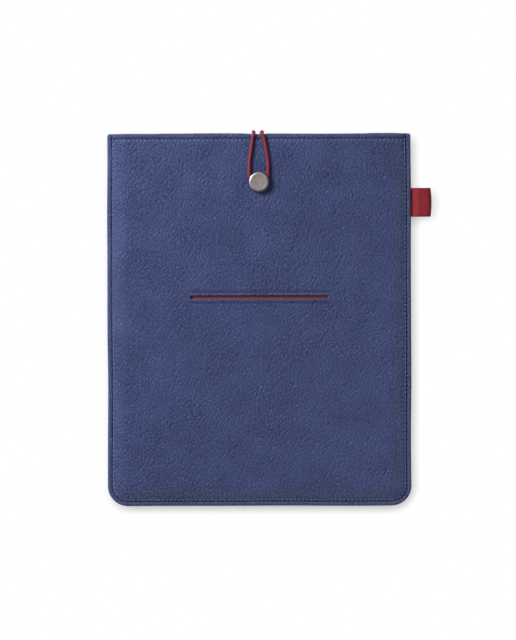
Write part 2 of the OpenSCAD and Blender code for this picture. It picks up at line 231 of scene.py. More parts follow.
def makeLight():
    data = bpy.data.lights.new("key", "AREA")
    data.shape = "DISK"
    data.size = studio["keySize"]
    data.energy = studio["keyPower"]
    lamp = addObject("key", data)
    lamp.location = studio["keyFrom"]
    lamp.rotation_euler = (-Vector(studio["keyFrom"])).to_track_quat("-Z", "Y").to_euler()
    world = bpy.data.worlds.new("room")
    scene.world = world
    world.use_nodes = True
    tree = world.node_tree
    light = tree.nodes["Background"]
    light.inputs["Color"].default_value = (*white, 1)
    light.inputs["Strength"].default_value = studio["worldStrength"]
    ray = addNode(tree, "ShaderNodeLightPath").outputs
    coords = addNode(tree, "ShaderNodeTexCoord").outputs["Generated"]
    towards = vectorNode(tree, "DOT_PRODUCT", {0: coords, 1: Vector(studio["keyFrom"]).normalized()})["Value"]
    mirrored = mapRange(tree, towards, studio["mirroredFrom"], 1.0, *studio["mirrored"])
    room = addNode(tree, "ShaderNodeBackground", {"Color": white, "Strength": mirrored}).outputs[0]
    seen = addNode(tree, "ShaderNodeBackground", {"Color": white, "Strength": 1.0}).outputs[0]
    mix = mixShader(tree, ray["Is Glossy Ray"], light.outputs[0], room)
    mix = mixShader(tree, ray["Is Camera Ray"], mix, seen)
    tree.links.new(mix, tree.nodes["World Output"].inputs["Surface"])


def makeFloor():
    half = studio["floorSize"] / 2
    mesh = bpy.data.meshes.new("floor")
    corners = [(-half, -half, 0), (half, -half, 0), (half, half, 0), (-half, half, 0)]
    mesh.from_pydata(corners, [], [(0, 1, 2, 3)])
    floor = addObject("floor", mesh)
    floor.location.z = -studio["floorDrop"] * mm
    material = bpy.data.materials.new("floorPaper")
    material.use_nodes = True
    tree = material.node_tree
    tree.nodes.clear()
    paper = addNode(tree, "ShaderNodeBsdfDiffuse", {"Color": studio["floorColour"]}).outputs[0]
    lean = addNode(tree, "ShaderNodeCombineXYZ", dict(enumerate(studio["shadeLean"]))).outputs[0]
    # painted shadow: ambient occlusion, its normal leaning towards the upper left, darkens the white the
    # camera sees
    near = addNode(tree, "ShaderNodeAmbientOcclusion",
                   {"Distance": studio["shadeReach"] * mm, "Normal": lean}, samples=16).outputs["AO"]
    level = mapRange(tree, near, studio["shadeFrom"], studio["shadeTo"], studio["shadeDark"], 1.0)
    paintedShadow = addNode(tree, "ShaderNodeEmission", {"Color": white, "Strength": level}).outputs[0]
    addNode(tree, "ShaderNodeOutputMaterial", {"Surface": mixShader(tree, directRay(tree), paper, paintedShadow)})
    material.diffuse_color = (*white, 1)
    mesh.materials.append(material)


makeCamera()
makeLight()
makeFloor()
print("studio ready")


# ---- materials ----

def startMaterial(name, finish, share=1.0):
    # share scales the gloss and the sheen
    material = bpy.data.materials.new(name)
    material.use_nodes = True
    tree = material.node_tree
    shader = tree.nodes["Principled BSDF"]
    shader.inputs["Roughness"].default_value = finish["roughness"]
    shader.inputs["Metallic"].default_value = finish.get("metallic", 0.0)
    shader.inputs["Specular IOR Level"].default_value = share * finish.get("specular", 0.5)
    if "sheen" in finish:
        shader.inputs["Sheen Weight"].default_value = share * finish["sheen"]
        shader.inputs["Sheen Roughness"].default_value = 0.4
    return material, tree, shader


def objectSpace(tree, scale=(1, 1, 1), turn=(0, 0, 0)):
    coords = addNode(tree, "ShaderNodeTexCoord").outputs["Object"]
    return addNode(tree, "ShaderNodeMapping", {"Vector": coords, "Rotation": turn, "Scale": scale}).outputs[0]


def mixColour(tree, share, first, second):
    return addNode(tree, "ShaderNodeMix", {0: share, 6: first, 7: second}, data_type="RGBA").outputs[2]


def addNoise(tree, space, scale, detail=2.0, roughness=0.5):
    given = {"Vector": space, "Scale": scale, "Detail": detail, "Roughness": roughness}
    return addNode(tree, "ShaderNodeTexNoise", given).outputs


def meshValue(tree, name):
    # what the mesh carries at each point
    return addNode(tree, "ShaderNodeAttribute", attribute_name=name).outputs["Fac"]


def finishMaterial(tree, shader, colour, height, relief, rough=None):
    tree.links.new(colour, shader.inputs["Base Color"])
    if rough:
        tree.links.new(rough, shader.inputs["Roughness"])
    bump = addNode(tree, "ShaderNodeBump", {"Height": height, "Distance": relief * mm})
    tree.links.new(bump.outputs["Normal"], shader.inputs["Normal"])


leatherFinish = {
    "base": (0.0454, 0.0687, 0.1884),
    "light": (0.0515, 0.0766, 0.2071),
    # the valley colour is painted shade in the grain's valleys
    "valley": (0.010, 0.017, 0.062),
    # paleTone is the colour of the painted light on rims, lips, seams and shoulders
    "paleTone": (0.088, 0.112, 0.252),
    "grain": 1.0,              # size of a pebble
    "grainStretch": 1.3,
    "grainValley": 0.22,       # width of the valleys, as a share of a pebble
    "grainShare": 0.7,         # and how deep they are beside the creases
    "grainDome": 0.35,
    "crease": 1.55,            # distance between the slanting creases
    "creaseStretch": 1.8,
    "creaseTurn": 58.0,        # their slope, in degrees
    "creaseValley": 0.24,
    "creaseDome": 0.8,
    "valleyDepth": 0.5,
    "valleyShadeShare": 0.86,
    "wobble": 0.7,             # how far the cells are bent out of shape
    "wobbleScale": 420.0,
    "pores": 0.08,
    "poreScale": 2600.0,
    "toneScale": 26.0,         # the slow change between the base and the light tone
    "patch": 22.0,             # size of the calmer and the livelier patches
    "patchLeast": 0.8,
    "calmTowards": (0.8, -0.6, 0),
    "calmReach": 0.14,         # metres
    "calm": 0.82,
    "relief": 0.82,
    "roughness": 0.5,
    "glossier": 0.06,          # the tops are this much smoother
    "duller": 0.16,            # and the valleys rougher
    "specular": 0.31,
}


def leatherCells(tree, bent, size, stretch, width):
    # the slanting cells of the hide: a dome on each, and 1 in the valleys between them
    slope = (0, 0, math.radians(leatherFinish["creaseTurn"]))
    slant = {"Vector": bent, "Rotation": slope, "Scale": (stretch, 1, 1)}
    slanted = addNode(tree, "ShaderNodeMapping", slant, vector_type="TEXTURE").outputs[0]
    given = {"Vector": slanted, "Scale": 1 / (size * mm)}
    middle = addNode(tree, "ShaderNodeTexVoronoi", given).outputs["Distance"]
    edge = addNode(tree, "ShaderNodeTexVoronoi", given, feature="DISTANCE_TO_EDGE").outputs["Distance"]
    dome = mathNode(tree, "SUBTRACT", 1.0, mathNode(tree, "POWER", middle, 2.0))
    return dome, mathNode(tree, "SUBTRACT", 1.0, mapRange(tree, edge, 0.0, width, kind="SMOOTHSTEP"))


def makeLeather():
    f = leatherFinish
    material, tree, shader = startMaterial("navyLeather", f)

    def times(a, b):
        return mathNode(tree, "MULTIPLY", a, b)

    space = objectSpace(tree)
    wobble = addNoise(tree, space, f["wobbleScale"])["Color"]
    shift = vectorNode(tree, "SUBTRACT", {0: wobble, 1: (0.5, 0.5, 0.5)})[0]
    shift = vectorNode(tree, "SCALE", {0: shift, "Scale": f["wobble"] * mm})[0]
    bent = vectorNode(tree, "ADD", {0: space, 1: shift})[0]
    pebble, pebbleValley = leatherCells(tree, bent, f["grain"], f["grainStretch"], f["grainValley"])
    fold, foldValley = leatherCells(tree, bent, f["crease"], f["creaseStretch"], f["creaseValley"])
    patches = addNoise(tree, space, 1 / (f["patch"] * mm))["Fac"]
    patch = mapRange(tree, patches, 0.35, 0.65, f["patchLeast"], 1.0)
    # the hide is calmer towards the lower right corner
    across = vectorNode(tree, "DOT_PRODUCT", {0: space, 1: f["calmTowards"]})["Value"]
    patch = times(patch, mapRange(tree, across, 0.0, f["calmReach"], 1.0, f["calm"]))
    # round tops with narrow valleys between them
    valley = times(mathNode(tree, "MAXIMUM", times(pebbleValley, f["grainShare"]), foldValley), patch)
    dome = mathNode(tree, "ADD", times(pebble, f["grainDome"]), times(fold, f["creaseDome"]))
    height = mathNode(tree, "SUBTRACT", times(dome, patch), times(valley, f["valleyDepth"]))
    pores = addNoise(tree, space, f["poreScale"])["Fac"]
    height = mathNode(tree, "ADD", height, times(pores, f["pores"]))
    wide = addNoise(tree, space, f["toneScale"], 3.0, 0.6)["Fac"]
    tone = mixColour(tree, mapRange(tree, wide, 0.35, 0.68), f["base"], f["light"])
    # painted light: the mesh's paintedLight share turns the leather towards the pale tone
    tone = mixColour(tree, meshValue(tree, "paintedLight"), tone, f["paleTone"])
    # painted shade: the grain's valleys are drawn darker
    tone = mixColour(tree, times(valley, f["valleyShadeShare"]), tone, f["valley"])
    rough = mapRange(tree, valley, 0.0, 1.0, f["roughness"] - f["glossier"], f["roughness"] + f["duller"])
    finishMaterial(tree, shader, tone, height, f["relief"], rough)
    return material


threadFinish = {
    "base": (0.085, 0.106, 0.220),
    "light": (0.135, 0.160, 0.310),
    # hole is painted shade in the needle holes
    "hole": (0.014, 0.020, 0.055),
    "slotShade": 0.42,         # painted shade: the slot's thread is drawn this share as bright as the others
    "fibres": 5200.0,
    "relief": 0.06,
    "roughness": 0.5,
    "specular": 0.35,
    "sheen": 0.1,
}


def makeThread(name, share=1.0):
    f = threadFinish
    material, tree, shader = startMaterial(name, f, share)
    fibres = addNoise(tree, objectSpace(tree), f["fibres"])["Fac"]
    # a share under 1 darkens the thread's colours, painted shade
    base, light = (tuple(share * c for c in f[key]) for key in ("base", "light"))
    tone = mixColour(tree, fibres, base, light)
    # painted shade where the mesh marks a needle hole
    tone = mixColour(tree, meshValue(tree, "hole"), tone, f["hole"])
    finishMaterial(tree, shader, tone, fibres, f["relief"])
    return material


clothFinish = {
    "base": (0.19, 0.036, 0.056),
    "shade": (0.115, 0.019, 0.032),
    "weave": 0.45,             # from one yarn to the next
    "slubs": 900.0,
    "relief": 0.05,
    "roughness": 0.8,
    "specular": 0.2,
    "sheen": 0.25,
}


def makeLiningCloth():
    # plain weave: two sets of yarns, crossing
    f = clothFinish
    material, tree, shader = startMaterial("redLining", f)
    space = objectSpace(tree)
    split = addNode(tree, "ShaderNodeSeparateXYZ", {0: space}).outputs
    turns = math.pi / (f["weave"] * mm)
    across, along = (mathNode(tree, "SINE", mathNode(tree, "MULTIPLY", split[n], turns)) for n in (0, 1))
    weave = mathNode(tree, "MULTIPLY", mathNode(tree, "MULTIPLY", across, along), 0.5)
    height = mathNode(tree, "ADD", weave, addNoise(tree, space, f["slubs"], 3.0)["Fac"])
    tone = mixColour(tree, mapRange(tree, height, -0.1, 1.1), f["shade"], f["base"])
    finishMaterial(tree, shader, tone, height, f["relief"])
    return material


ribbonFinish = {
    "base": (0.275, 0.016, 0.024),
    "yarnShade": (0.20, 0.011, 0.018),
    "patchShade": (0.16, 0.009, 0.017),
    "shade": (0.10, 0.007, 0.012),
    "valleyShadeShare": 0.8,
    "yarns": 1300.0,
    "patches": 750.0,
    "relief": 0.05,
    "roughness": 0.72,
    "specular": 0.2,
    "sheen": 0.05,
}


def makeRibbon():
    # the mesh carries the ribs: "valley" is 1 between two of them and at the selvedges
    f = ribbonFinish
    material, tree, shader = startMaterial("redRibbon", f)
    yarns = addNoise(tree, objectSpace(tree, (1, 3, 1)), f["yarns"], 3.0)["Fac"]
    patches = addNoise(tree, objectSpace(tree), f["patches"])["Fac"]
    tone = mixColour(tree, mapRange(tree, yarns, 0.3, 0.7), f["yarnShade"], f["base"])
    tone = mixColour(tree, mapRange(tree, patches, 0.4, 0.72), tone, f["patchShade"])
    # painted shade between the ribs and wefts and at the selvedges
    share = mathNode(tree, "MULTIPLY", meshValue(tree, "valley"), f["valleyShadeShare"])
    finishMaterial(tree, shader, mixColour(tree, share, tone, f["shade"]), yarns, f["relief"])
    return material


cordFinish = {
    "base": (0.137, 0.0038, 0.0165),
    "light": (0.228, 0.0095, 0.029),
    "shade": (0.018, 0.001, 0.006),
    "yarns": 2400.0,
    "relief": 0.05,
    "roughness": 0.5,
    "specular": 0.3,
    "sheen": 0.08,
}


def makeCordCover():
    # the mesh carries the braid: "valley" is 1 between two yarns
    f = cordFinish
    material, tree, shader = startMaterial("redCord", f)
    yarns = addNoise(tree, objectSpace(tree), f["yarns"], 3.0)["Fac"]
    tone = mixColour(tree, yarns, f["base"], f["light"])
    tone = mixColour(tree, meshValue(tree, "valley"), tone, f["shade"])
    finishMaterial(tree, shader, tone, yarns, f["relief"])
    return material


foamFinish = {
    "base": (0.2, 0.2, 0.205),
    "shade": (0.10, 0.10, 0.105),
    "cells": 1800.0,
    "relief": 0.1,
    "roughness": 0.9,
    "specular": 0.1,
}


def makeFoam():
    f = foamFinish
    material, tree, shader = startMaterial("greyFoam", f)
    given = {"Vector": objectSpace(tree), "Scale": f["cells"]}
    cells = addNode(tree, "ShaderNodeTexVoronoi", given).outputs["Distance"]
    tone = mixColour(tree, mapRange(tree, cells, 0.1, 0.7), f["shade"], f["base"])
    finishMaterial(tree, shader, tone, cells, f["relief"])
    return material


metals = {
    "agedNickel": {
        "base": (0.205, 0.184, 0.186),
        "paleTone": (0.31, 0.282, 0.284),
        "roughness": 0.42,
        "relief": 0.03,
    },
    "dullBrass": {
        "base": (0.42, 0.30, 0.13),
        "paleTone": (0.52, 0.40, 0.2),
        "roughness": 0.4,
        "relief": 0.02,
    },
    "plainSteel": {
        "base": (0.42, 0.43, 0.44),
        "paleTone": (0.55, 0.56, 0.57),
        "roughness": 0.35,
        "relief": 0.02,
    },
}
rubbed = {
    # what the metals share
    "metallic": 1.0,
    "clouds": 420.0,
    "strokes": 1500.0,
    "strokeTurn": 28,          # degrees
    "strokeStretch": 7,
    "glossier": 0.07,
    "duller": 0.1,
}


def makeMetal(name):
    f = {**rubbed, **metals[name]}
    material, tree, shader = startMaterial(name, f)
    clouds = addNoise(tree, objectSpace(tree), f["clouds"], 4.0, 0.65)["Fac"]
    slanted = objectSpace(tree, (1, f["strokeStretch"], 1), (0, 0, math.radians(f["strokeTurn"])))
    strokes = addNoise(tree, slanted, f["strokes"], 3.0)["Fac"]
    tone = mixColour(tree, mapRange(tree, clouds, 0.35, 0.68), f["base"], f["paleTone"])
    rough = mapRange(tree, strokes, 0.3, 0.7, f["roughness"] - f["glossier"], f["roughness"] + f["duller"])
    height = mathNode(tree, "ADD", clouds, mathNode(tree, "MULTIPLY", strokes, 0.5))
    finishMaterial(tree, shader, tone, height, f["relief"], rough)
    return material


leather = makeLeather()
thread = makeThread("navyThread")
# the slot's rows get a darker copy of the thread: painted shade
shadedSlotThread = makeThread("shadedSlotThread", threadFinish["slotShade"])
liningCloth = makeLiningCloth()
ribbon = makeRibbon()
cordCover = makeCordCover()
foam = makeFoam()
nickel, brass, steel = (makeMetal(name) for name in metals)
print("materials ready")


# ---- mesh helpers ----

def makePiece(name, points, faces, material, attributes=None, sharp=None):
    # points in millimetres
    mesh = bpy.data.meshes.new(name)
    mesh.from_pydata([(x * mm, y * mm, z * mm) for x, y, z in points], [], faces)
    for key, values in (attributes or {}).items():
        mesh.attributes.new(key, "FLOAT", "POINT").data.foreach_set("value", values)
    work = bmesh.new()
    work.from_mesh(mesh)
    bmesh.ops.recalc_face_normals(work, faces=work.faces)
    work.to_mesh(mesh)
    work.free()
    mesh.shade_smooth()
    if sharp:
        mesh.set_sharp_from_angle(angle=math.radians(sharp))
    mesh.materials.append(material)
    return addObject(name, mesh)


def withoutRepeats(corners):
    # a face whose equal corners are given once
    return tuple(v for n, v in enumerate(corners) if v not in corners[:n])


def smoothStep(t):
    t = min(max(t, 0.0), 1.0)
    return t * t * (3 - 2 * t)


def bell(distance, half):
    return math.exp(-(distance / half) ** 2)


def fall(t):
    return (1 - math.cos(math.pi * min(t, 1.0))) / 2


def softNoise(x, y, seed, octaves=2):
    return noise.fractal(Vector((x, y, seed)), 0.8, 2.1, octaves)


# ---- the sleeve's common shape; the last coordinate of each noise is its seed ----

def faceOf(front):
    # a face's lip, and which way is outwards
    return (frontLip, 1) if front else (backLip, -1)


def outerHeight(r):
    # a soft shoulder, fuller than a plain curve and steepest at the stitches
    full = math.sqrt(max(0.0, 1 - (r / stitchR) ** 2))
    share = sleeve["fullness"] * full + (1 - sleeve["fullness"]) * (1 - fall(r / stitchR))
    return rimThick + (halfThick - rimThick) * share


def liningHeight(r):
    thin = sleeve["liningThickness"]
    return thin + (liningRise - thin) * (1 - fall(r / turnR))


def outlineShift(x, y):
    # the cut edge wanders a little; every layer and stitch follows it
    wander = sleeve["outlineWander"]
    alongX, alongY = sleeve["wanderLength"]
    dx = noise.noise(Vector((y / alongY, x / abs(x or 1), 0.7)))
    dy = noise.noise(Vector((x / alongX, y / abs(y or 1), 5.2)))
    return wander * (abs(x) / halfWidth) ** 3 * dx, wander * (abs(y) / frontHigh.y) ** 3 * dy


def lipPull(x, y, lip):
    # the taut cord pulls the lip in
    s = sleeve
    share = 1 - smoothStep((abs(x - s["cordDentX"]) - s["cordDentFrom"]) / s["cordDentFade"])
    return -s["cordDent"] * share * smoothStep(1 - (lip - y) / s["cordDentDepth"])


swell = {
    "waves": (46, 52),         # size of the soft waves in the padded front
    "backWaves": 50,
    "level": 0.15,
    "most": 0.45,
    "buttonHold": 17,          # the button and the cord hold the leather down this far out
    "cordHold": 12,
    "cordReach": 15,
    "lipShare": 0.25,          # what is left of the waves at the lip
    "lipReach": 30,
    "dip": 0.22,               # the leather dips in a ring round the button
    "dipRadius": 10,
    "dipFrom": 4.6,
    "dipReach": 3,
}


def frontSwell(x, y):
    s = swell
    near = math.hypot(x - buttonX, y - buttonY)
    waves = softNoise(x / s["waves"][0], y / s["waves"][1], 3.1, 3) - s["level"]
    calm = 1 - bell(near, s["buttonHold"])
    cordCalm = 1 - bell(x, s["cordHold"]) * smoothStep((y - buttonY + s["cordReach"]) / s["cordReach"])
    mouth = s["lipShare"] + (1 - s["lipShare"]) * smoothStep((frontLip - y) / s["lipReach"])
    rise = sleeve["frontSwell"] * waves * calm * cordCalm * mouth
    dip = s["dip"] * bell(near, s["dipRadius"]) * smoothStep((near - s["dipFrom"]) / s["dipReach"])
    return min(rise, s["most"]) - dip


def stitchRelief(distance, phase, deep, inset=stitching["inset"]):
    # the pressed line, the needle holes and the puffs between them
    s = stitching
    hole = (0.5 + 0.5 * math.cos(2 * math.pi * phase)) ** 2
    puff = 0.5 - 0.5 * math.cos(2 * math.pi * phase)
    groove = s["grooveDepth"] * bell(distance, s["grooveHalf"])
    pit = s["holeDepth"] * hole * bell(distance + inset, s["holeHalf"])
    beside = s["puffHeight"] * puff * bell(abs(distance) - s["puffOffset"], s["puffHalf"])
    return deep * (beside - groove - pit)


columnPitch = 2 * flatHalf / round(2 * flatHalf / stitching["pitch"])


def seamRelief(x, y, r, seamPhase, lip, front):
    # what the stitch lines do to the leather's outer face; each presses only what is near it
    s = stitching
    relief = stitchRelief(r - stitchR, seamPhase, s["seamDeep"]) if r > stitchR - 3.5 else 0.0
    relief += s["beadPuff"] * bell(r - stitchR - s["puffOffset"], s["puffHalf"])
    mouth = y - (lip - sleeve["mouthInset"])
    if abs(mouth) < 5 and r < stitchR + 0.5:
        phase = r / s["pitch"] if r else (x + flatHalf) / columnPitch
        relief += stitchRelief(mouth, phase, s["mouthDeep"])
        relief -= s["mouthPress"] * bell(mouth, s["mouthPressHalf"])
    past = abs(x) - slot["half"] - slot["stitchOver"]
    if not front or r or past >= 2:
        return relief
    for side in (-1, 1):
        line = y - slot["y"] - side * slot["stitchGap"] / 2
        if abs(line) < 4:
            press = stitchRelief(line, (x + flatHalf) / columnPitch, s["slotDeep"], 0)
            press -= s["slotPress"] * bell(line, s["slotPressHalf"])
            relief += (1 - smoothStep((past + 0.6) / 1.2)) * press
    return relief


def slotHalfWidth(x):
    # a long opening with round ends
    half = slot["width"] / 2
    past = abs(x) - (slot["half"] - half)
    return half * math.sqrt(max(0.0, 1 - (max(past, 0.0) / half) ** 2))


def roundMouthCorner(x, y, lip):
    radius = sleeve["lipCorner"]
    u = (abs(x) - (halfWidth - radius)) / radius
    v = (y - (lip - radius)) / radius
    if u <= 0 or v <= 0:
        return x, y
    side = 1 if x > 0 else -1
    newU, newV = u * math.sqrt(max(0, 1 - v * v / 2)), v * math.sqrt(max(0, 1 - u * u / 2))
    return side * (halfWidth - radius + radius * newU), lip - radius + radius * newV


# ---- layers: a flat middle and a section carried round three edges ----

leastCell = 0.12
innerRadii = [0, 1.7, 3.4, 5.1, 6.8, turnR]


def sectionPoints(radii, height, hemHeight=None):
    return [(r, height(r), (hemHeight or height)(r)) for r in radii]


def thinned(places):
    # in order, without those too close to the one before
    kept = []
    for place in sorted(places):
        if not kept or place - kept[-1] > leastCell:
            kept.append(place)
    return kept


def gridColumns(spacing, extra=()):
    count = round(2 * flatHalf / spacing)
    return thinned([-flatHalf + 2 * flatHalf * n / count for n in range(count + 1)] + list(extra))


def gridRows(lip, spacing, extra=(), lipRound=0):
    # rows from the bottom corners' centres to the lip, each with its squeeze towards the section's middle
    rows = [y for y in extra if cornerY < y < lip - lipRound]
    y = cornerY
    while y < lip - lipRound - 0.2:
        rows.append(y)
        y += spacing
    squeezed = [(y, 1.0) for y in thinned(rows)]
    if not lipRound:
        return squeezed + [(lip, 1.0)]
    for step in range(6):
        angle = math.radians(15 * step)
        squeezed.append((lip - lipRound * (1 - math.sin(angle)), math.cos(angle)))
    return squeezed


def onSlot(y):
    return abs(y - slot["y"]) < 1e-6


def lower(v):
    # the slot's row has two vertices where the slot is open, its lower and its upper lip
    return v[0] if isinstance(v, tuple) else v


def upper(v):
    return v[1] if isinstance(v, tuple) else v


def buildLayer(name, spec, material):
    # spec: the section from above to below, its rows and columns, how a point is placed and how much painted
    # light it gets
    top, low, rows, columns = spec["top"], spec["low"], spec["rows"], spec["columns"]
    chain = top + low
    hemStart = spec.get("hemStart", math.inf)
    opening = spec.get("slot", False)
    points, faces, paintedLight = [], [], []

    def add(x, y, k, phase, squeeze, shiftY=0.0):
        r, plain, hem = chain[k]
        zMid = spec["middle"](r, hem)[1]
        z = zMid + ((hem if y > hemStart else plain) - zMid) * squeeze
        points.append(spec["place"](x, y + shiftY, z, r, phase, k < len(top)))
        if "paintedLight" in spec:
            paintedLight.append(spec["paintedLight"](x, y + shiftY, r))
        return len(points) - 1

    def plateVertex(x, y, k, squeeze):
        phase = (x + flatHalf) / columnPitch
        d = y - slot["y"]
        if not opening or abs(x) >= slot["half"] - 1e-6 or abs(d) >= slot["reach"]:
            return add(x, y, k, phase, squeeze)
        half = slotHalfWidth(x)
        if onSlot(y):
            return tuple(add(x, y, k, phase, squeeze, shift) for shift in (-half, half))
        share = (slot["reach"] - half) / slot["reach"]
        side = 1 if d > 0 else -1
        return add(x, y, k, phase, squeeze, side * (half + abs(d) * share) - d)

    # the flat middle, above and below
    plates = [[[plateVertex(x, y, k, squeeze) for x in columns] for y, squeeze in rows]
              for k in (0, len(chain) - 1)]
    spans = range(len(columns) - 1)
    for grid in plates:
        for near, far in zip(grid, grid[1:]):
            for i in spans:
                faces.append((upper(near[i]), upper(near[i + 1]), lower(far[i + 1]), lower(far[i])))
    if opening:
        j = next(n for n, (y, _) in enumerate(rows) if onSlot(y))
        outer, inner = plates[0][j], plates[1][j]
        for pick in (lower, upper):
            for i in spans:
                if isinstance(outer[i], tuple) or isinstance(outer[i + 1], tuple):
                    faces.append((pick(outer[i]), pick(outer[i + 1]), pick(inner[i + 1]), pick(inner[i])))

    def station(place, phase, squeeze, j, i):
        # the section at one place along the edge, from the plate above to the one below
        ring = [plates[0][j][i]]
        for k in range(1, len(chain) - 1):
            r, _, hem = chain[k]
            rMid = spec["middle"](r, hem)[0]
            x, y = place(rMid + (r - rMid) * squeeze)
            ring.append(add(x, y, k, phase, squeeze))
        return ring + [plates[1][j][i]]

    def sweep(rings):
        for a, b in zip(rings, rings[1:]):
            for k in range(len(chain) - 1):
                face = withoutRepeats([a[k], a[k + 1], b[k + 1], b[k]])
                if len(face) > 2:
                    faces.append(face)

    # sides, corners and bottom
    ends, corners = [], []
    for side, i in ((-1, 0), (1, len(columns) - 1)):
        rings = []
        for j, (y, squeeze) in enumerate(rows):
            phase = (y - cornerY) / stitching["pitch"]
            rings.append(station(lambda r: (side * (flatHalf + r), y), phase, squeeze, j, i))
        sweep(rings)
        ends.append(rings[-1])
        corner = [rings[0]]
        for n in range(1, spec["cornerCells"]):
            share = n / spec["cornerCells"]
            a = math.pi / 2 * share
            corner.append(station(lambda r: (side * (flatHalf + r * math.cos(a)), cornerY - r * math.sin(a)),
                                  stitching["corner"] * share, 1.0, 0, i))
        corners.append(corner)
    bottom = [station(lambda r: (x, cornerY - r), (x + flatHalf) / columnPitch, 1.0, 0, i)
              for i, x in enumerate(columns)]
    sweep(bottom)
    sweep(corners[0] + [bottom[0]])
    sweep(corners[1] + [bottom[-1]])

    # close the mouth end
    outer, inner = plates[0][-1], plates[1][-1]
    for i in spans:
        faces.append((outer[i], outer[i + 1], inner[i + 1], inner[i]))
    faces += [tuple(ring) for ring in ends]
    return makePiece(name, points, faces, material, {"paintedLight": paintedLight} if paintedLight else None)


# ---- leather skins ----

leatherGrid = {
    "radii": (0, 1.7, 3.4, 5, 6.4, 7.6, 8.6, 9.4, 10, 10.5, 10.85, 11.1, stitchR, 11.7, 12.1),
    "pastSeam": 0.6,           # the lining is held this far past the stitches
    "bead": 0.8,               # size of the rolled edge, as a share of the rim
    "beadRise": 0.1,
    "mouthRows": (-2.0, -1.4, -0.9, -0.5, 0, 0.5, 0.9, 1.4, 2.0),
    "slotRows": (0, 0.25, 0.6, 1.3, 2.2, 3.45, 3.75, 4.0, 4.25, 4.6, 5.2),
    "slotColumns": (0, 0.15, 0.45, 0.8, 1.2),
    "cornerCells": 12,
}
beadR = leatherGrid["bead"] * 2 * leatherThick
beadZ = rimThick + leatherGrid["beadRise"] - beadR
beadCentre = sleeve["cornerRadius"] - beadR
liningR = stitchR + leatherGrid["pastSeam"]


def rimUnder(r):
    if r > liningR:
        return 0.0
    return sleeve["liningThickness"] if r > turnR else liningHeight(r)


def leatherMiddle(r, z):
    # what the section is squeezed towards at the lip
    if r > beadCentre:
        return beadCentre, (beadZ + beadR) / 2
    return r, (outerHeight(r) + rimUnder(r)) / 2


def leatherSection():
    top = sectionPoints(leatherGrid["radii"], outerHeight)
    for a in map(math.radians, (90, 70, 50, 30, 12, 0)):
        z = beadZ + beadR * math.sin(a)
        top.append((beadCentre + beadR * math.cos(a), z, z))
    for a in map(math.radians, (-30, -60, -90)):
        z = beadZ + beadZ * math.sin(a)
        top.append((sleeve["cornerRadius"] - beadZ + beadZ * math.cos(a), z, z))
    thin = sleeve["liningThickness"]
    low = [(liningR, 0.0, 0.0), (liningR, thin, thin), (turnR, thin, thin)]
    return top, low + sectionPoints(innerRadii[::-1], lambda r: outerHeight(r) - leatherThick, liningHeight)


paleTone = {
    # shares of the pale tone, which is painted light; the low ones are added along the bottom and the right
    # side, which face away from the key light
    "rim": 0.3,
    "rimLow": 0.65,
    "seamLow": 0.6,
    "shoulder": 0.6,
    "shoulderFade": 4.0,
    "lipReach": 3.4,
    "mouthSeam": 0.75,
    "mouthSeamAt": 1.5,
    "slotLower": 0.85,
    "slotUpper": 0.95,
}


def leatherPaintedLight(front):
    # painted light: the leather is drawn paler where the rims, the lip, the mouth seam, the slot's lips and
    # the shoulders catch the light, and more on the bottom and right side to lift their shade
    w = paleTone
    lip, _ = faceOf(front)

    def paintedLight(x, y, r):
        across = x - min(max(x, -flatHalf), flatHalf)
        # low is 1 on the bottom and the right side, which lie in shade
        low = smoothStep(0.5 + 0.5 * (across + max(cornerY - y, 0.0)) / r) if r else 0.0
        amounts = [
            (w["rim"] + w["rimLow"] * low) * smoothStep((r - stitchR + 0.6) / 1.2),
            w["seamLow"] * low * bell(r - stitchR, 1.2),
            smoothStep(1 - (lip - y) / w["lipReach"]),
            w["mouthSeam"] * bell(y - (lip - sleeve["mouthInset"] - w["mouthSeamAt"]), 0.8),
        ]
        # painted highlight on the shoulders near the seams, and a broader painted lift of the shade on the
        # low side
        if 0 < r < stitchR - 0.7:
            high = w["shoulder"] * math.exp((r - stitchR + 0.7) / w["shoulderFade"])
            amounts.append(high + low * (w["shoulder"] * smoothStep(r / 5) - high))
        if front and r == 0 and abs(x) < slot["half"] + 2:
            edge = abs(y - slot["y"]) - slotHalfWidth(x)
            amounts.append(w["slotUpper" if y > slot["y"] else "slotLower"] * bell(edge - 0.5, 1.0))
        return max(amounts)
    return paintedLight


def slotLipRelief(x, y):
    # the cut lips rise a little, and round off at the edge itself
    edge = abs(y - slot["y"]) - slotHalfWidth(x)
    inside = 1 - smoothStep((abs(x) - slot["half"]) / 2)
    relief = inside * slot["lipRise"] * bell(edge - slot["lipRiseAt"], slot["lipRiseHalf"])
    if edge < slot["edgeRound"] and abs(x) <= slot["half"]:
        relief -= slot["edgeDrop"] * (1 - max(edge, 0) / slot["edgeRound"]) ** 2
    return relief


def leatherPlacer(front):
    lip, side = faceOf(front)
    beadStart = beadCentre + beadR * math.cos(math.radians(35))

    def place(x, y, z, r, phase, outer):
        fade = 1 - fall(r / stitchR)
        if front:
            z += frontSwell(x, y) * fade
        elif fade > 0:
            waves = softNoise(x / swell["backWaves"], y / swell["backWaves"], 9.4)
            z -= sleeve["backSwell"] * abs(waves) * fade
        if outer and r < beadStart:
            relief = seamRelief(x, y, r, phase, lip, front)
            if front and r == 0 and abs(y - slot["y"]) < slot["reach"] + 1:
                relief += slotLipRelief(x, y)
            z += relief if front else min(relief, 0.0)
        x, y = roundMouthCorner(x, y, lip)
        dx, dy = outlineShift(x, y)
        return x + dx, y + dy + lipPull(x, y, lip), midZ + side * z
    return place


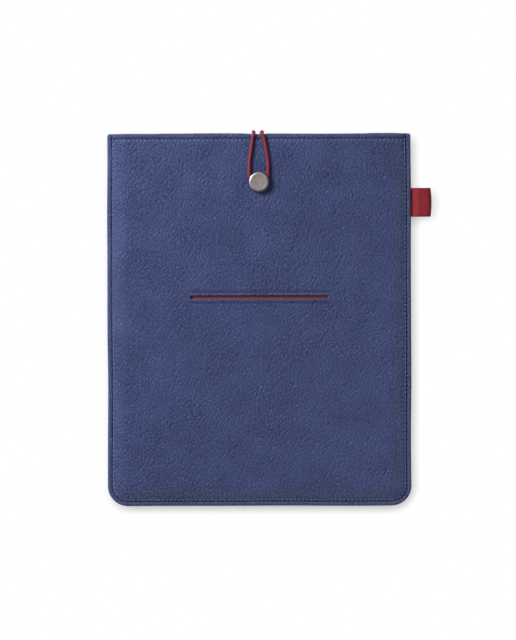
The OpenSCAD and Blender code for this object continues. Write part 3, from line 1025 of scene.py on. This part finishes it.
def buildLeather(name, front):
    g = leatherGrid
    top, low = leatherSection()
    lip, _ = faceOf(front)
    hem = lip - sleeve["hemDepth"]
    extraRows = [lip - sleeve["mouthInset"] + d for d in g["mouthRows"]] + [hem, hem + 0.3]
    extraColumns = []
    if front:
        extraRows += [slot["y"] + side * d for d in g["slotRows"] for side in (1, -1)]
        extraColumns = [side * (slot["half"] - d) for d in g["slotColumns"] for side in (1, -1)]
    rows = gridRows(lip, stitching["pitch"] / 2, extraRows, sleeve["lipRound"])
    if front:
        # the slot's own row stays, so its nearest neighbours from the even spacing go
        rows = [row for row in rows if row[0] == slot["y"] or abs(row[0] - slot["y"]) > 0.2]
    return buildLayer(name, {
        "top": top, "low": low, "rows": rows,
        "columns": gridColumns(columnPitch / 2, extraColumns),
        "cornerCells": g["cornerCells"], "hemStart": hem + 0.1, "middle": leatherMiddle,
        "slot": front, "place": leatherPlacer(front), "paintedLight": leatherPaintedLight(front),
    }, leather)


frontSkin = buildLeather("front_leather", True)
backSkin = buildLeather("back_leather", False)
for skin, node in ((frontSkin, "front_panel"), (backSkin, "back_panel")):
    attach(skin, "sleeve")
    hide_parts(node)
print("leather skins:", len(frontSkin.data.vertices), len(backSkin.data.vertices))


# ---- linings, foam and pocket cloth ----

linings = {
    "grid": 3.0,
    "cornerCells": 6,
    "frontSetback": 1.0,       # the front lining ends behind its lip
    "wrinkle": 0.18,
    "wrinkleSize": (31, 37),
    "peepHeight": 0.5,         # the back lining shows past the lip along two stretches
    "peepLeast": 0.12,         # and stays this far behind it elsewhere
    "peeps": ((-79.0, -4.0), (72.0, 105.0)),
    "peepEnds": 9.0,
}
foamPads = {
    "grid": 4.0,
    "cornerCells": 5,
    "clear": 0.06,
    "hemClear": 0.3,
    "fill": 0.35,
    "pocketReach": 3.0,        # the front pad makes room for the pocket this far round it
    "tackRadius": 7.0,         # and for the button's tack
    "tackRoom": 0.1,
}
pocket = {
    "margin": 6.0,
    "depth": 90.0,
    "header": 6.0,
    "cloth": 0.3,
    "frontPly": 6.1,           # heights above the middle of the sleeve
    "backPly": 5.4,
    "frontSink": 0.02,
    "headerRise": 0.6,         # the back ply is sewn up under the leather over the slot
    "wave": 0.06,
    "waveSize": (9, 13),
    "seamInset": 2.0,
    "grid": 1.5,
}


def plainMiddle(r, z):
    return r, z


def peep(x):
    run = linings["peepEnds"]
    return max(smoothStep((x - start) / run) * smoothStep((end - x) / run) for start, end in linings["peeps"])


def buildLining(name, front):
    thin = sleeve["liningThickness"]
    wrinkleX, wrinkleY = linings["wrinkleSize"]
    lip, side = faceOf(front)
    if front:
        lip -= linings["frontSetback"]
    top = sectionPoints(innerRadii, liningHeight) + [(liningR, thin, thin)]
    low = [(liningR, 0.0, 0.0)] + sectionPoints(innerRadii[::-1], lambda r: liningHeight(r) - thin)

    def place(x, y, z, r, phase, outer):
        fade = 1 - fall(r / turnR)
        z += linings["wrinkle"] * fade * softNoise(x / wrinkleX, y / wrinkleY, 17.0 + side)
        if not front:
            y += (linings["peepHeight"] * peep(x) - linings["peepLeast"]) * smoothStep(1 - (lip - y) / 4)
        dx, dy = outlineShift(x, y)
        return x + dx, y + dy + lipPull(x, y, lip), midZ + side * z

    piece = buildLayer(name, {
        "top": top, "low": low, "rows": gridRows(lip, linings["grid"]),
        "columns": gridColumns(linings["grid"]), "cornerCells": linings["cornerCells"],
        "middle": plainMiddle, "place": place,
    }, liningCloth)
    run = sum(math.dist(a[:2], b[:2]) for a, b in zip(top, top[1:]))
    flat = (2 * (flatHalf + run) * mm, (lip - cornerY + run) * mm)
    cutCorners = 2 * (1 - math.pi / 4) * (run * mm) ** 2
    return piece, flat, flat[0] * flat[1] - cutCorners


def foamCeiling(x, y):
    # the front pad stays under the pocket and under the button's tack
    ceiling = math.inf
    acrossReach = slot["half"] + pocket["margin"] + foamPads["pocketReach"]
    belowReach = slot["y"] - pocket["depth"] - foamPads["pocketReach"]
    aboveReach = slot["y"] + pocket["header"] + foamPads["pocketReach"]
    if abs(x) < acrossReach and belowReach < y < aboveReach:
        ceiling = pocket["backPly"] - pocket["cloth"] + frontSwell(x, y)
    if math.hypot(x - buttonX, y - buttonY) < foamPads["tackRadius"]:
        ceiling = min(ceiling, pocket["backPly"] - pocket["cloth"] - foamPads["tackRoom"])
    return ceiling


def buildFoam(name, front):
    clear = foamPads["clear"]
    lip, side = faceOf(front)
    lip -= sleeve["hemDepth"] + foamPads["hemClear"]
    radii = innerRadii[:-1] + [turnR - clear]
    top = sectionPoints(radii, lambda r: outerHeight(r) - leatherThick - clear)
    low = sectionPoints(radii[::-1], lambda r: liningHeight(r) + clear)

    def place(x, y, z, r, phase, outer):
        fade = 1 - fall(r / stitchR)
        if outer and front:
            z = min(z + frontSwell(x, y) * fade, foamCeiling(x, y))
        elif outer:
            z -= sleeve["backSwell"] * fade
        dx, dy = outlineShift(x, y)
        return x + dx, y + dy, midZ + side * z

    return buildLayer(name, {
        "top": top, "low": low, "rows": gridRows(lip, foamPads["grid"]),
        "columns": gridColumns(foamPads["grid"]), "cornerCells": foamPads["cornerCells"],
        "middle": plainMiddle, "place": place,
    }, foam)


def buildPly(name, yLow, yHigh, height):
    # a flat cloth with two faces and its cut edge
    half = slot["half"] + pocket["margin"]
    waveX, waveY = pocket["waveSize"]
    across = round(2 * half / pocket["grid"])
    along = round((yHigh - yLow) / pocket["grid"])
    points, faces = [], []
    for face in (1, 0):
        for j in range(along + 1):
            for i in range(across + 1):
                x, y = -half + 2 * half * i / across, yLow + (yHigh - yLow) * j / along
                z = height(y) + frontSwell(x, y) + pocket["cloth"] * face
                z += pocket["wave"] * noise.noise(Vector((x / waveX, y / waveY, 2.0)))
                dx, dy = outlineShift(x, y)
                points.append((x + dx, y + dy, midZ + z))
    wide = across + 1
    other = wide * (along + 1)
    for j in range(along):
        for i in range(across):
            a = j * wide + i
            for base in (0, other):
                faces.append((base + a, base + a + 1, base + a + wide + 1, base + a + wide))
    rim = [i for i in range(wide)] + [j * wide + across for j in range(1, along + 1)]
    rim += [along * wide + i for i in range(across - 1, -1, -1)] + [j * wide for j in range(along - 1, 0, -1)]
    for a, b in zip(rim, rim[1:] + rim[:1]):
        faces.append((a, b, b + other, a + other))
    return makePiece(name, points, faces, liningCloth)


def frontPlyHeight(y):
    return pocket["frontPly"] - pocket["frontSink"]


def backPlyHeight(y):
    # sewn up under the leather over the slot, then down behind the front ply
    return pocket["backPly"] + pocket["headerRise"] * smoothStep((y - slot["y"] - 0.6) / 2.4)


for name, front in (("front_lining_cloth", True), ("back_lining_cloth", False)):
    cloth, flat, area = buildLining(name, front)
    node = "front_lining" if front else "back_lining"
    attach(cloth, "sleeve")
    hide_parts(node)
for name, front in (("front_foam", True), ("back_foam", False)):
    pad = buildFoam(name, front)
    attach(pad, "sleeve")
    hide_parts("front_padding" if front else "back_padding")
pocketLow = slot["y"] - pocket["depth"]
pocketWide = 2 * (slot["half"] + pocket["margin"])
frontPlyTop = slot["y"] - slot["width"] / 2 + 0.05
backPlyTop = slot["y"] + pocket["header"]
for name, yHigh, height, node in (("pocket_front_cloth", frontPlyTop, frontPlyHeight, "pocket_front_ply"),
                                  ("pocket_back_cloth", backPlyTop, backPlyHeight, "pocket_back_ply")):
    ply = buildPly(name, pocketLow, yHigh, height)
    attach(ply, "sleeve")
    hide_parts(node)
print("linings, foam and pocket ready")


# ---- stitches: one tree lays a sunk stitch along each edge of a guide ----

stitchSockets = (
    ("Guide", "Geometry", None),
    ("Thread Thickness", "Float", 0.0006),
    ("Stitch Share", "Float", 0.84),
    ("Arch", "Float", 0.0002),
    ("Sink", "Float", 0.0003),
    ("Slant", "Float", 0.08),
    ("Hole Size", "Float", 0.001),
    ("Hole Sink", "Float", 0.0004),
    ("Seed", "Int", 4),
    ("Thread", "Material", None),
)


def makeStitchTree():
    tree = bpy.data.node_groups.new("stitchLine", "GeometryNodeTree")
    for name, kind, value in stitchSockets:
        item = tree.interface.new_socket(name, in_out="INPUT", socket_type="NodeSocket" + kind)
        if value is not None:
            item.default_value = value
    tree.interface.new_socket("Stitches", in_out="OUTPUT", socket_type="NodeSocketGeometry")
    given = tree.nodes.new("NodeGroupInput").outputs

    def geometryNode(kind, inputs=None, **settings):
        return addNode(tree, "GeometryNode" + kind, inputs, **settings).outputs

    def times(value, factor):
        return mathNode(tree, "MULTIPLY", value, factor)

    def combine(x=0.0, y=0.0, z=0.0):
        return addNode(tree, "ShaderNodeCombineXYZ", {0: x, 1: y, 2: z}).outputs[0]

    def align(inputs, **settings):
        return addNode(tree, "FunctionNodeAlignRotationToVector", inputs, **settings).outputs[0]

    # each edge of the guide becomes a point that knows the edge's run and which way is up
    ends = geometryNode("InputMeshEdgeVertices")
    along = vectorNode(tree, "SUBTRACT", {0: ends["Position 2"], 1: ends["Position 1"]})[0]
    upward = geometryNode("InputNamedAttribute", {"Name": "up"}, data_type="FLOAT_VECTOR")[0]
    keep = tree.nodes.new("GeometryNodeCaptureAttribute")
    keep.domain = "EDGE"
    keep.capture_items.new("VECTOR", "Along")
    keep.capture_items.new("VECTOR", "Up")
    for n, value in enumerate((given["Guide"], along, upward)):
        tree.links.new(value, keep.inputs[n])
    guide, along, edgeUp = keep.outputs[0], keep.outputs[1], keep.outputs[2]
    spots = geometryNode("MeshToPoints", {"Mesh": guide}, mode="EDGES")[0]
    facing = align({"Vector": along}, axis="X")
    facing = align({"Rotation": facing, "Vector": edgeUp}, axis="Z", pivot_axis="X")
    lean = addNode(tree, "FunctionNodeRandomValue", data_type="FLOAT")
    limits = {s.name: s for s in lean.inputs if s.type == "VALUE"}
    tree.links.new(times(given["Slant"], -1.0), limits["Min"])
    tree.links.new(given["Slant"], limits["Max"])
    tree.links.new(given["Seed"], lean.inputs["Seed"])
    leanAngle = next(s for s in lean.outputs if s.type == "VALUE")
    twist = addNode(tree, "FunctionNodeEulerToRotation", {0: combine(z=leanAngle)}).outputs[0]
    turned = addNode(tree, "FunctionNodeRotateRotation", {"Rotation": facing, "Rotate By": twist},
                     rotation_space="LOCAL").outputs[0]
    # a bowed bar of thread, as long as the edge asks
    halfLong = times(given["Stitch Share"], 0.5)
    down = times(given["Sink"], -1.0)
    bow = geometryNode("CurveQuadraticBezier", {
        "Resolution": 6, "Start": combine(times(halfLong, -1.0), z=down),
        "Middle": combine(z=times(given["Arch"], 2.0)), "End": combine(halfLong, z=down)})[0]
    radius = times(given["Thread Thickness"], 0.5)
    ring = geometryNode("CurvePrimitiveCircle", {"Resolution": 6, "Radius": radius})[0]
    bar = geometryNode("CurveToMesh", {"Curve": bow, "Profile Curve": ring, "Fill Caps": True})[0]
    size = combine(vectorNode(tree, "LENGTH", {0: along})["Value"], 1.0, 1.0)
    laid = geometryNode("InstanceOnPoints", {
        "Points": spots, "Instance": bar, "Rotation": turned, "Scale": size})[0]
    # painted shade: a dark dot sunk at each end of each stitch, in the needle hole
    dot = geometryNode("MeshIcoSphere", {"Radius": times(given["Hole Size"], 0.5), "Subdivisions": 1})["Mesh"]
    dot = geometryNode("StoreNamedAttribute", {"Geometry": dot, "Name": "hole", "Value": 1.0},
                       data_type="FLOAT", domain="POINT")[0]
    holes = geometryNode("InstanceOnPoints", {
        "Points": given["Guide"], "Instance": dot, "Rotation": align({"Vector": upward}, axis="Z"),
        "Scale": (1, 1, 0.4)})[0]
    drop = combine(z=times(given["Hole Sink"], -1.0))
    holes = geometryNode("TranslateInstances", {
        "Instances": holes, "Translation": drop, "Local Space": True})[0]
    joined = tree.nodes.new("GeometryNodeJoinGeometry")
    tree.links.new(holes, joined.inputs[0])
    tree.links.new(laid, joined.inputs[0])
    real = geometryNode("RealizeInstances", {0: joined.outputs[0]})[0]
    smooth = geometryNode("SetShadeSmooth", {"Geometry": real, "Shade Smooth": True})[0]
    painted = geometryNode("SetMaterial", {"Geometry": smooth, "Material": given["Thread"]})[0]
    tree.links.new(painted, tree.nodes.new("NodeGroupOutput").inputs[0])
    return tree


stitchTree = makeStitchTree()


def bakeNodes(holder, name):
    # the evaluated result as a plain mesh
    graph = bpy.context.evaluated_depsgraph_get()
    mesh = bpy.data.meshes.new_from_object(holder.evaluated_get(graph))
    mesh.name = name
    bpy.data.objects.remove(holder)
    return addObject(name, mesh)


def setInputs(modifier, values):
    # a modifier knows its inputs by identifier, not by name
    ids = {item.name: item.identifier for item in modifier.node_group.interface.items_tree
           if item.item_type == "SOCKET" and item.in_out == "INPUT"}
    for key, value in values.items():
        modifier[ids[key]] = value


def sewLine(name, lines, changes):
    # lines: lists of (point, up); each step between two points is one stitch
    points, ups, edges = [], [], []
    for line in lines:
        for n, (point, up) in enumerate(line):
            if n:
                edges.append((len(points) - 1, len(points)))
            points.append([c * mm for c in point])
            ups.extend(up)
    guide = bpy.data.meshes.new(name + "_guide")
    guide.from_pydata(points, edges, [])
    guide.attributes.new("up", "FLOAT_VECTOR", "POINT").data.foreach_set("vector", ups)
    holder = addObject(name + "_guide", guide)
    modifier = holder.modifiers.new("stitches", "NODES")
    modifier.node_group = stitchTree
    s = {"thread": thread, **stitching, **changes}
    setInputs(modifier, {
        "Thread Thickness": s["threadThickness"] * mm,
        "Stitch Share": s["stitchShare"],
        "Arch": s["arch"] * mm,
        "Sink": s["sink"] * mm,
        "Slant": math.radians(s["slant"]),
        "Hole Size": s["holeSize"] * mm,
        "Hole Sink": s["holeSink"] * mm,
        "Seed": s["seed"],
        "Thread": s["thread"],
    })
    return bakeNodes(holder, name)


def skinPoint(front, x, y, r, depth):
    # a point in the outer skin's stitch groove, and the way out of the leather there
    lip, side = faceOf(front)
    z = outerHeight(r) - depth
    fade = 1 - fall(r / stitchR)
    if front:
        z += frontSwell(x, y) * fade
    slope = (outerHeight(r + 0.1) - outerHeight(max(r - 0.1, 0))) / 0.2 if 0 < r < stitchR else 0.0
    up = Vector((-slope * (1 if x > 0 else -1), 0, 1)).normalized()
    x, y = roundMouthCorner(x, y, lip)
    dx, dy = outlineShift(x, y)
    return (x + dx, y + dy + lipPull(x, y, lip), midZ + side * z), (up.x, up.y, side * up.z)


flatSpots = [-flatHalf + columnPitch * n for n in range(round(2 * flatHalf / columnPitch) + 1)]


def seamHoles(front):
    # down the left side, round the bottom and up the right side
    lip, _ = faceOf(front)
    pitch = stitching["pitch"]
    r = stitchR - stitching["inset"]
    count = int((lip - 1.6 - cornerY) / pitch)
    sides = [cornerY + pitch * n for n in range(count + 1)]
    turns = [math.pi / 2 * n / stitching["corner"] for n in range(1, stitching["corner"])]
    path = [(-flatHalf - r, y) for y in sides[::-1]]
    path += [(-flatHalf - r * math.cos(a), cornerY - r * math.sin(a)) for a in turns]
    path += [(x, cornerY - r) for x in flatSpots]
    path += [(flatHalf + r * math.cos(a), cornerY - r * math.sin(a)) for a in turns[::-1]]
    path += [(flatHalf + r, y) for y in sides]
    return [skinPoint(front, x, y, r, stitching["seamThread"]) for x, y in path]


def mouthHoles(front):
    lip, _ = faceOf(front)
    y = lip - sleeve["mouthInset"] - stitching["inset"]
    depth = stitching["mouthThread"]
    radii = [stitching["pitch"] * n for n in (3, 2, 1)]
    holes = [skinPoint(front, -flatHalf - r, y, r, depth) for r in radii]
    holes += [skinPoint(front, x, y, 0, depth) for x in flatSpots]
    return holes + [skinPoint(front, flatHalf + r, y, r, depth) for r in radii[::-1]]


def slotHoles(side):
    y = slot["y"] + side * slot["stitchGap"] / 2
    first = math.ceil((flatHalf - slot["half"] - slot["stitchOver"]) / columnPitch - 0.3)
    spots = flatSpots[first:len(flatSpots) - first]
    return [skinPoint(True, x, y, 0, stitching["grooveDepth"]) for x in spots]


def pocketHoles():
    half = pocketWide / 2 - pocket["seamInset"]
    yLow = pocketLow + pocket["seamInset"]
    yHigh = slot["y"] - slot["width"] / 2 - 1
    down = round((yHigh - yLow) / stitching["pitch"])
    wide = round(2 * half / stitching["pitch"])
    path = [(-half, yHigh + (yLow - yHigh) * n / down) for n in range(down)]
    path += [(-half + 2 * half * n / wide, yLow) for n in range(wide)]
    path += [(half, yLow + (yHigh - yLow) * n / down) for n in range(down + 1)]
    middle = (pocket["frontPly"] + pocket["backPly"] + pocket["cloth"]) / 2
    return [((x, y, midZ + middle + frontSwell(x, y)), (0, 0, 1)) for x, y in path]


seams = {
    # piece: its lines, the node it replaces, and what differs from the stitching above
    "front_seam_stitches": ([seamHoles(True)], "seam_thread_front", {}),
    "back_seam_stitches": ([seamHoles(False)], "seam_thread_back", {"seed": 5}),
    "front_mouth_stitches": ([mouthHoles(True)], "mouth_thread_front", {"seed": 6}),
    "back_mouth_stitches": ([mouthHoles(False)], "mouth_thread_back", {"seed": 7, "arch": 0.1}),
    "slot_stitches": ([slotHoles(-1), slotHoles(1)], "slot_thread", {
        "seed": 8, "holeSize": 1.0, "thread": shadedSlotThread}),
    "pocket_stitches": ([pocketHoles()], "pocket_thread", {
        "seed": 9, "arch": 0.05, "sink": 0.05, "threadThickness": 0.35, "holeSize": 0.4, "holeSink": 0.02}),
}
for name, (lines, node, changes) in seams.items():
    sewn = sewLine(name, lines, changes)
    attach(sewn, "sleeve")
    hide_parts(node)
print("stitches sewn")


# ---- elastic cord ----

cord = {
    "diameter": 2.5,
    "tailX": (-3.6, 1.9),      # left, right
    "lipX": (-3.9, 2.4),
    "tailZ": 2.2,
    "riseY": 136.0,
    "topZ": 16.65,
    # y and height: out of the back hem, and from the rise down onto the front
    "tailRoute": ((127.6, 2.2), (131.0, 2.2), (133.9, 2.2), (135.0, 2.45), (135.75, 3.2), (136.0, 4.6)),
    "lipRoute": ((135.78, 15.35), (135.0, 16.3), (133.9, 16.65)),
    "riseShares": (0.35, 0.6, 0.8),
    "strandStart": 134.7,
    "bightY": 108.5,
    # share of the way from the lip to the bight, left x, right x
    "strands": ((0.12, -4.6, 3.5), (0.27, -5.1, 4.4), (0.45, -5.7, 5.25),
                (0.6, -6.3, 5.9), (0.73, -6.8, 6.4), (0.87, -7.0, 6.6), (1.0, -7.0, 6.6)),
    # distance above the button's centre, left x, right x
    "legs": ((6.0, -7.0, 6.6), (3.0, -6.65, 6.45)),
    "bightRadius": 6.05,
    "yarns": 8,
    "braidPitch": 7.2,
    "braidRelief": 0.12,
    "crown": 0.62,             # mean height of a yarn's crown, which waves over and under the others
    "round": 40,
    "step": 0.2,
    "riserCut": 9.4,           # heights and a y where one piece ends and the next begins
    "frontCut": 16.0,
    "strandCut": 131.0,
    "hemSqueeze": 0.68,        # how flat the tails are pressed in the hem
    "hemTop": 4.0,
    "squeezeFrom": 132.6,
    "squeezeReach": 1.8,
}


def cordSide(k):
    # from the tail in the back hem, over the lip and down to the bight
    c = cord
    tail, lip = c["tailX"][k], c["lipX"][k]
    route = [(tail, y, z) for y, z in c["tailRoute"]]
    for share in c["riseShares"]:
        route.append((tail + (lip - tail) * share, c["riseY"], c["tailZ"] + (c["topZ"] - c["tailZ"]) * share))
    route += [(lip, y, z) for y, z in c["lipRoute"]]
    for part in c["strands"]:
        route.append((part[1 + k], c["strandStart"] + part[0] * (c["bightY"] - c["strandStart"]), c["topZ"]))
    for leg in c["legs"]:
        route.append((leg[1 + k], buttonY + leg[0], c["topZ"]))
    return [Vector(p) for p in route]


def wholeCord():
    radius = cord["bightRadius"]
    bight = []
    for n in range(10):
        a = math.pi + math.pi * n / 9
        bight.append(Vector((buttonX + radius * math.cos(a), buttonY + radius * math.sin(a), cord["topZ"])))
    return cordSide(0) + bight + cordSide(1)[::-1]


def catmullRom(points, step):
    # even steps along a smooth curve through the points
    padded = [2 * points[0] - points[1], *points, 2 * points[-1] - points[-2]]
    dense = []
    for p0, p1, p2, p3 in zip(padded, padded[1:], padded[2:], padded[3:]):
        count = max(4, math.ceil((p2 - p1).length / step * 4))
        for n in range(count):
            t = n / count
            dense.append(0.5 * (2 * p1 + (p2 - p0) * t + (2 * p0 - 5 * p1 + 4 * p2 - p3) * t * t
                                + (3 * p1 - p0 - 3 * p2 + p3) * t ** 3))
    dense.append(points[-1].copy())
    even, walked = [dense[0]], 0.0
    for a, b in zip(dense, dense[1:]):
        gap = (b - a).length
        while walked + gap >= step:
            a = a.lerp(b, (step - walked) / gap)
            gap = (b - a).length
            walked = 0.0
            even.append(a)
        walked += gap
    return even


def framesAlong(line):
    # a side vector at each point, carried along without twisting
    frames = []
    side = Vector((1, 0, 0))
    for n in range(len(line)):
        along = (line[min(n + 1, len(line) - 1)] - line[max(n - 1, 0)]).normalized()
        side = (side - along * side.dot(along)).normalized()
        frames.append((side, along.cross(side)))
    return frames


def braid(u, v):
    # relief of a round braid: 1 on a yarn's crown, 0 in the gap between yarns
    a = cord["yarns"] * (u + v / cord["braidPitch"])
    b = cord["yarns"] * (u - v / cord["braidPitch"])
    over = 1 if (math.floor(a) + math.floor(b)) % 2 == 0 else -1
    a, b = a % 1.0, b % 1.0
    mean, wave = cord["crown"], over * (1 - cord["crown"])
    crownA = math.sqrt(max(0.0, 1 - (2 * a - 1) ** 2)) * (mean + wave * math.sin(math.pi * b))
    crownB = math.sqrt(max(0.0, 1 - (2 * b - 1) ** 2)) * (mean - wave * math.sin(math.pi * a))
    return max(crownA, crownB)


def cordTube(name, stretches, line, frames):
    # each stretch is a range of the line's points; the braid runs on from one piece to the next
    points, faces, valley = [], [], []
    c = cord
    count = c["round"]
    for first, last in stretches:
        base = len(points)
        for n in range(first, last + 1):
            thick = c["diameter"] / 2
            if line[n].z < c["hemTop"]:
                free = smoothStep((line[n].y - c["squeezeFrom"]) / c["squeezeReach"])
                thick *= c["hemSqueeze"] + (1 - c["hemSqueeze"]) * free
            across, upward = frames[n]
            for k in range(count):
                a = 2 * math.pi * k / count
                crown = braid(k / count, n * c["step"])
                radius = thick - c["braidRelief"] * (1 - crown)
                points.append(tuple(line[n] + across * math.cos(a) * radius + upward * math.sin(a) * radius))
                valley.append((1 - crown) ** 1.3)
        for n in range(last - first):
            for k in range(count):
                a, b = base + n * count + k, base + n * count + (k + 1) % count
                faces.append((a, b, b + count, a + count))
        for start in (base, base + (last - first) * count):
            faces.append(tuple(start + k for k in range(count)))
    return makePiece(name, points, faces, cordCover, {"valley": valley}, sharp=70)


cordLine = catmullRom(wholeCord(), cord["step"])
cordFrames = framesAlong(cordLine)
onFront = [n for n, point in enumerate(cordLine) if point.z > cord["frontCut"]]
middle = min(onFront, key=lambda n: cordLine[n].y)
cuts = []
for way in (range(middle), range(len(cordLine) - 1, middle, -1)):
    cuts.append([
        way[0],
        next(n for n in way if cordLine[n].z > cord["riserCut"]),
        next(n for n in way if cordLine[n].z > cord["frontCut"] and cordLine[n].y < cord["strandCut"]),
        next(n for n in way if cordLine[n].z > cord["frontCut"] and cordLine[n].y < cord["bightY"]),
    ])
made = {}
for n, name in enumerate(("cord_ends", "cord_over_lip", "cord_runs")):
    stretches = [(cuts[0][n], cuts[0][n + 1]), (cuts[1][n + 1], cuts[1][n])]
    made[name] = cordTube(name, stretches, cordLine, cordFrames)
made["cord_loop_end"] = cordTube("cord_loop_end", [(cuts[0][3], cuts[1][3])], cordLine, cordFrames)
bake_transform(made["cord_ends"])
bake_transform(made["cord_over_lip"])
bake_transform(made["cord_runs"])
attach(made["cord_loop_end"], "cord_bight")
for name, nodes in (("cord_ends", ("cord_tails", "cord_riser")),
                    ("cord_over_lip", ("cord_riser", "cord_strands")),
                    ("cord_runs", ("cord_strands",)),
                    ("cord_loop_end", ("cord_bight",))):
    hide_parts(*nodes)
print("cord braided, length in mm:", round(len(cordLine) * cord["step"]))


# ---- ribbon pen loop ----

penLoop = {
    "width": 20.8,
    "y": 84.8,
    "rootX": 104.6,
    "pivotX": 111.05,
    "flare": 4.5,
    "gapHalf": 2.5,
    "thick": 0.86,
    "clear": 0.02,             # between the two plies at the root
    "arcX": 121.1,
    "bow": 0.7,                # the folded end is fuller in its middle
    "rib": 0.68,
    "ribRelief": 0.06,
    "weft": 0.55,
    "weftRelief": 0.025,
    "alongStep": 0.28,
    "acrossStep": 0.17,
    "selvedge": 0.9,
    "edgeThin": 0.55,          # how much thinner the ribbon gets at its very edge
    "edgeReach": 0.54,
    "edgeWander": 0.15,
    "ribTone": 0.55,           # shares of the painted shade: between ribs, between wefts, at the selvedges
    "weftTone": 0.2,
    "edgeTone": 0.75,
}


def penLoopPath():
    # centre line of the ribbon in x and height, from the upper root round to the lower one
    p = penLoop
    half = p["thick"] / 2 + p["clear"]
    upper = []
    x = p["rootX"]
    while x < p["arcX"]:
        upper.append((x, half + p["gapHalf"] * fall(max(0, (x - p["pivotX"]) / p["flare"]))))
        x += p["alongStep"]
    radius = half + p["gapHalf"]
    count = math.ceil(math.pi * radius / p["alongStep"])
    turns = [math.pi * n / count for n in range(count + 1)]
    arc = [(p["arcX"] + radius * math.sin(a), radius * math.cos(a)) for a in turns]
    return upper + arc + [(x, -z) for x, z in upper[::-1]]


def ribbonPoint(x, z, out, d, walked):
    # a point of the weave, d from the ribbon's middle, and how deep it lies between ribs and wefts
    p = penLoop
    share = 2 * d / p["width"]
    edge = p["width"] / 2 - abs(d)
    rib = abs(math.sin(math.pi * d / p["rib"]))
    weft = math.sin(2 * math.pi * walked / p["weft"] + math.pi * (math.floor(d / p["rib"]) % 2))
    thin = 1 - p["edgeThin"] * (1 - smoothStep(edge / p["edgeReach"]))
    lift = p["thick"] / 2 * thin - p["ribRelief"] * (1 - rib) + p["weftRelief"] * (weft - 1)
    bulge = p["bow"] * (1 - share ** 2) * smoothStep((x - p["pivotX"] - 1) / (p["arcX"] - p["pivotX"]))
    wander = p["edgeWander"] * noise.noise(Vector((x / 6, (1 if d > 0 else -1), 3.3))) * abs(share) ** 3
    deep = p["ribTone"] * (1 - rib) + p["weftTone"] * (0.5 - 0.5 * weft)
    deep += p["edgeTone"] * bell(edge, p["selvedge"] * 0.55)
    spot = Vector((x, z)) + out * lift
    return (spot.x + bulge, p["y"] + d + wander, midZ + spot.y), min(1.0, deep)


def buildPenLoop():
    path = penLoopPath()
    count = round(penLoop["width"] / penLoop["acrossStep"])
    wide = count + 1
    points, faces, valley = [], [], []
    walked = 0.0
    for n, (x, z) in enumerate(path):
        before, after = path[max(n - 1, 0)], path[min(n + 1, len(path) - 1)]
        along = Vector((after[0] - before[0], after[1] - before[1])).normalized()
        out = Vector((-along.y, along.x))
        if n:
            walked += math.dist(path[n - 1], path[n])
        for face in (1, -1):
            for k in range(wide):
                d = (2 * k / count - 1) * penLoop["width"] / 2
                point, deep = ribbonPoint(x, z, out * face, d, walked)
                points.append(point)
                valley.append(deep)
    for n in range(len(path) - 1):
        here, ahead = n * 2 * wide, (n + 1) * 2 * wide
        for k in range(count):
            for base in (0, wide):
                faces.append((here + base + k, here + base + k + 1, ahead + base + k + 1, ahead + base + k))
        for k in (0, count):
            faces.append((here + k, here + wide + k, ahead + wide + k, ahead + k))
    for base in (0, (len(path) - 1) * 2 * wide):
        for k in range(count):
            faces.append((base + k, base + k + 1, base + wide + k + 1, base + wide + k))
    return makePiece("ribbon_pen_loop", points, faces, ribbon, {"valley": valley}, sharp=60)


loop = buildPenLoop()
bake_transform(loop)
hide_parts("pen_loop", "pen_loop_root")
print("pen loop woven")


# ---- button and tack ----

button = {
    "segments": 120,
    # radius and height above the cap's underside: a shallow dish in a raised, rounded rim
    "profile": (
        (0.0, 1.84), (1.5, 1.845), (3.0, 1.855), (4.4, 1.87), (5.1, 1.89), (5.5, 1.92), (5.85, 1.95),
        (6.15, 1.945), (6.5, 1.86), (6.85, 1.70), (7.12, 1.50), (7.36, 1.22), (7.5, 0.92), (7.42, 0.6),
        (7.2, 0.3), (6.85, 0.08), (6.45, 0.0), (6.1, 0.04), (6.05, 0.2), (6.3, 0.34), (6.7, 0.42),
        (6.95, 0.7), (6.98, 1.2), (6.6, 1.42), (5.0, 1.42), (2.5, 1.36), (0.0, 1.34),
    ),
    "unevenness": 0.035,
    "dentSize": 1.7,
}


def buildCap():
    # the profile turned round the button's centre, a little uneven
    count = button["segments"]
    points, faces, rings = [], [], []
    for r, z in button["profile"]:
        ring = []
        for k in range(count if r > 0 else 1):
            a = 2 * math.pi * k / count
            x, y = r * math.cos(a), r * math.sin(a)
            dent = Vector((x / button["dentSize"], y / button["dentSize"], z / 2))
            bump = button["unevenness"] * noise.noise(dent)
            scale = 1 + bump / max(r, 3)
            ring.append(len(points))
            points.append((buttonX + x * scale, buttonY + y * scale, capLow.z + z + bump))
        rings.append(ring)
    for a, b in zip(rings, rings[1:]):
        for k in range(count):
            ahead = k + 1
            quad = [a[k % len(a)], a[ahead % len(a)], b[ahead % len(b)], b[k % len(b)]]
            faces.append(withoutRepeats(quad))
    return makePiece("button_shell", points, faces, nickel)


cap = buildCap()
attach(cap, "button")
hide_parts("button_cap")
for node, finish in (("button_base", nickel), ("button_collar", nickel), ("tack_pin", steel),
                     ("tack_washer", brass), ("cord_tack", thread)):
    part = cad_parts[node]
    if not part.material_slots:
        part.data.materials.append(finish)
    for place in part.material_slots:
        place.material = finish
print("button ready")
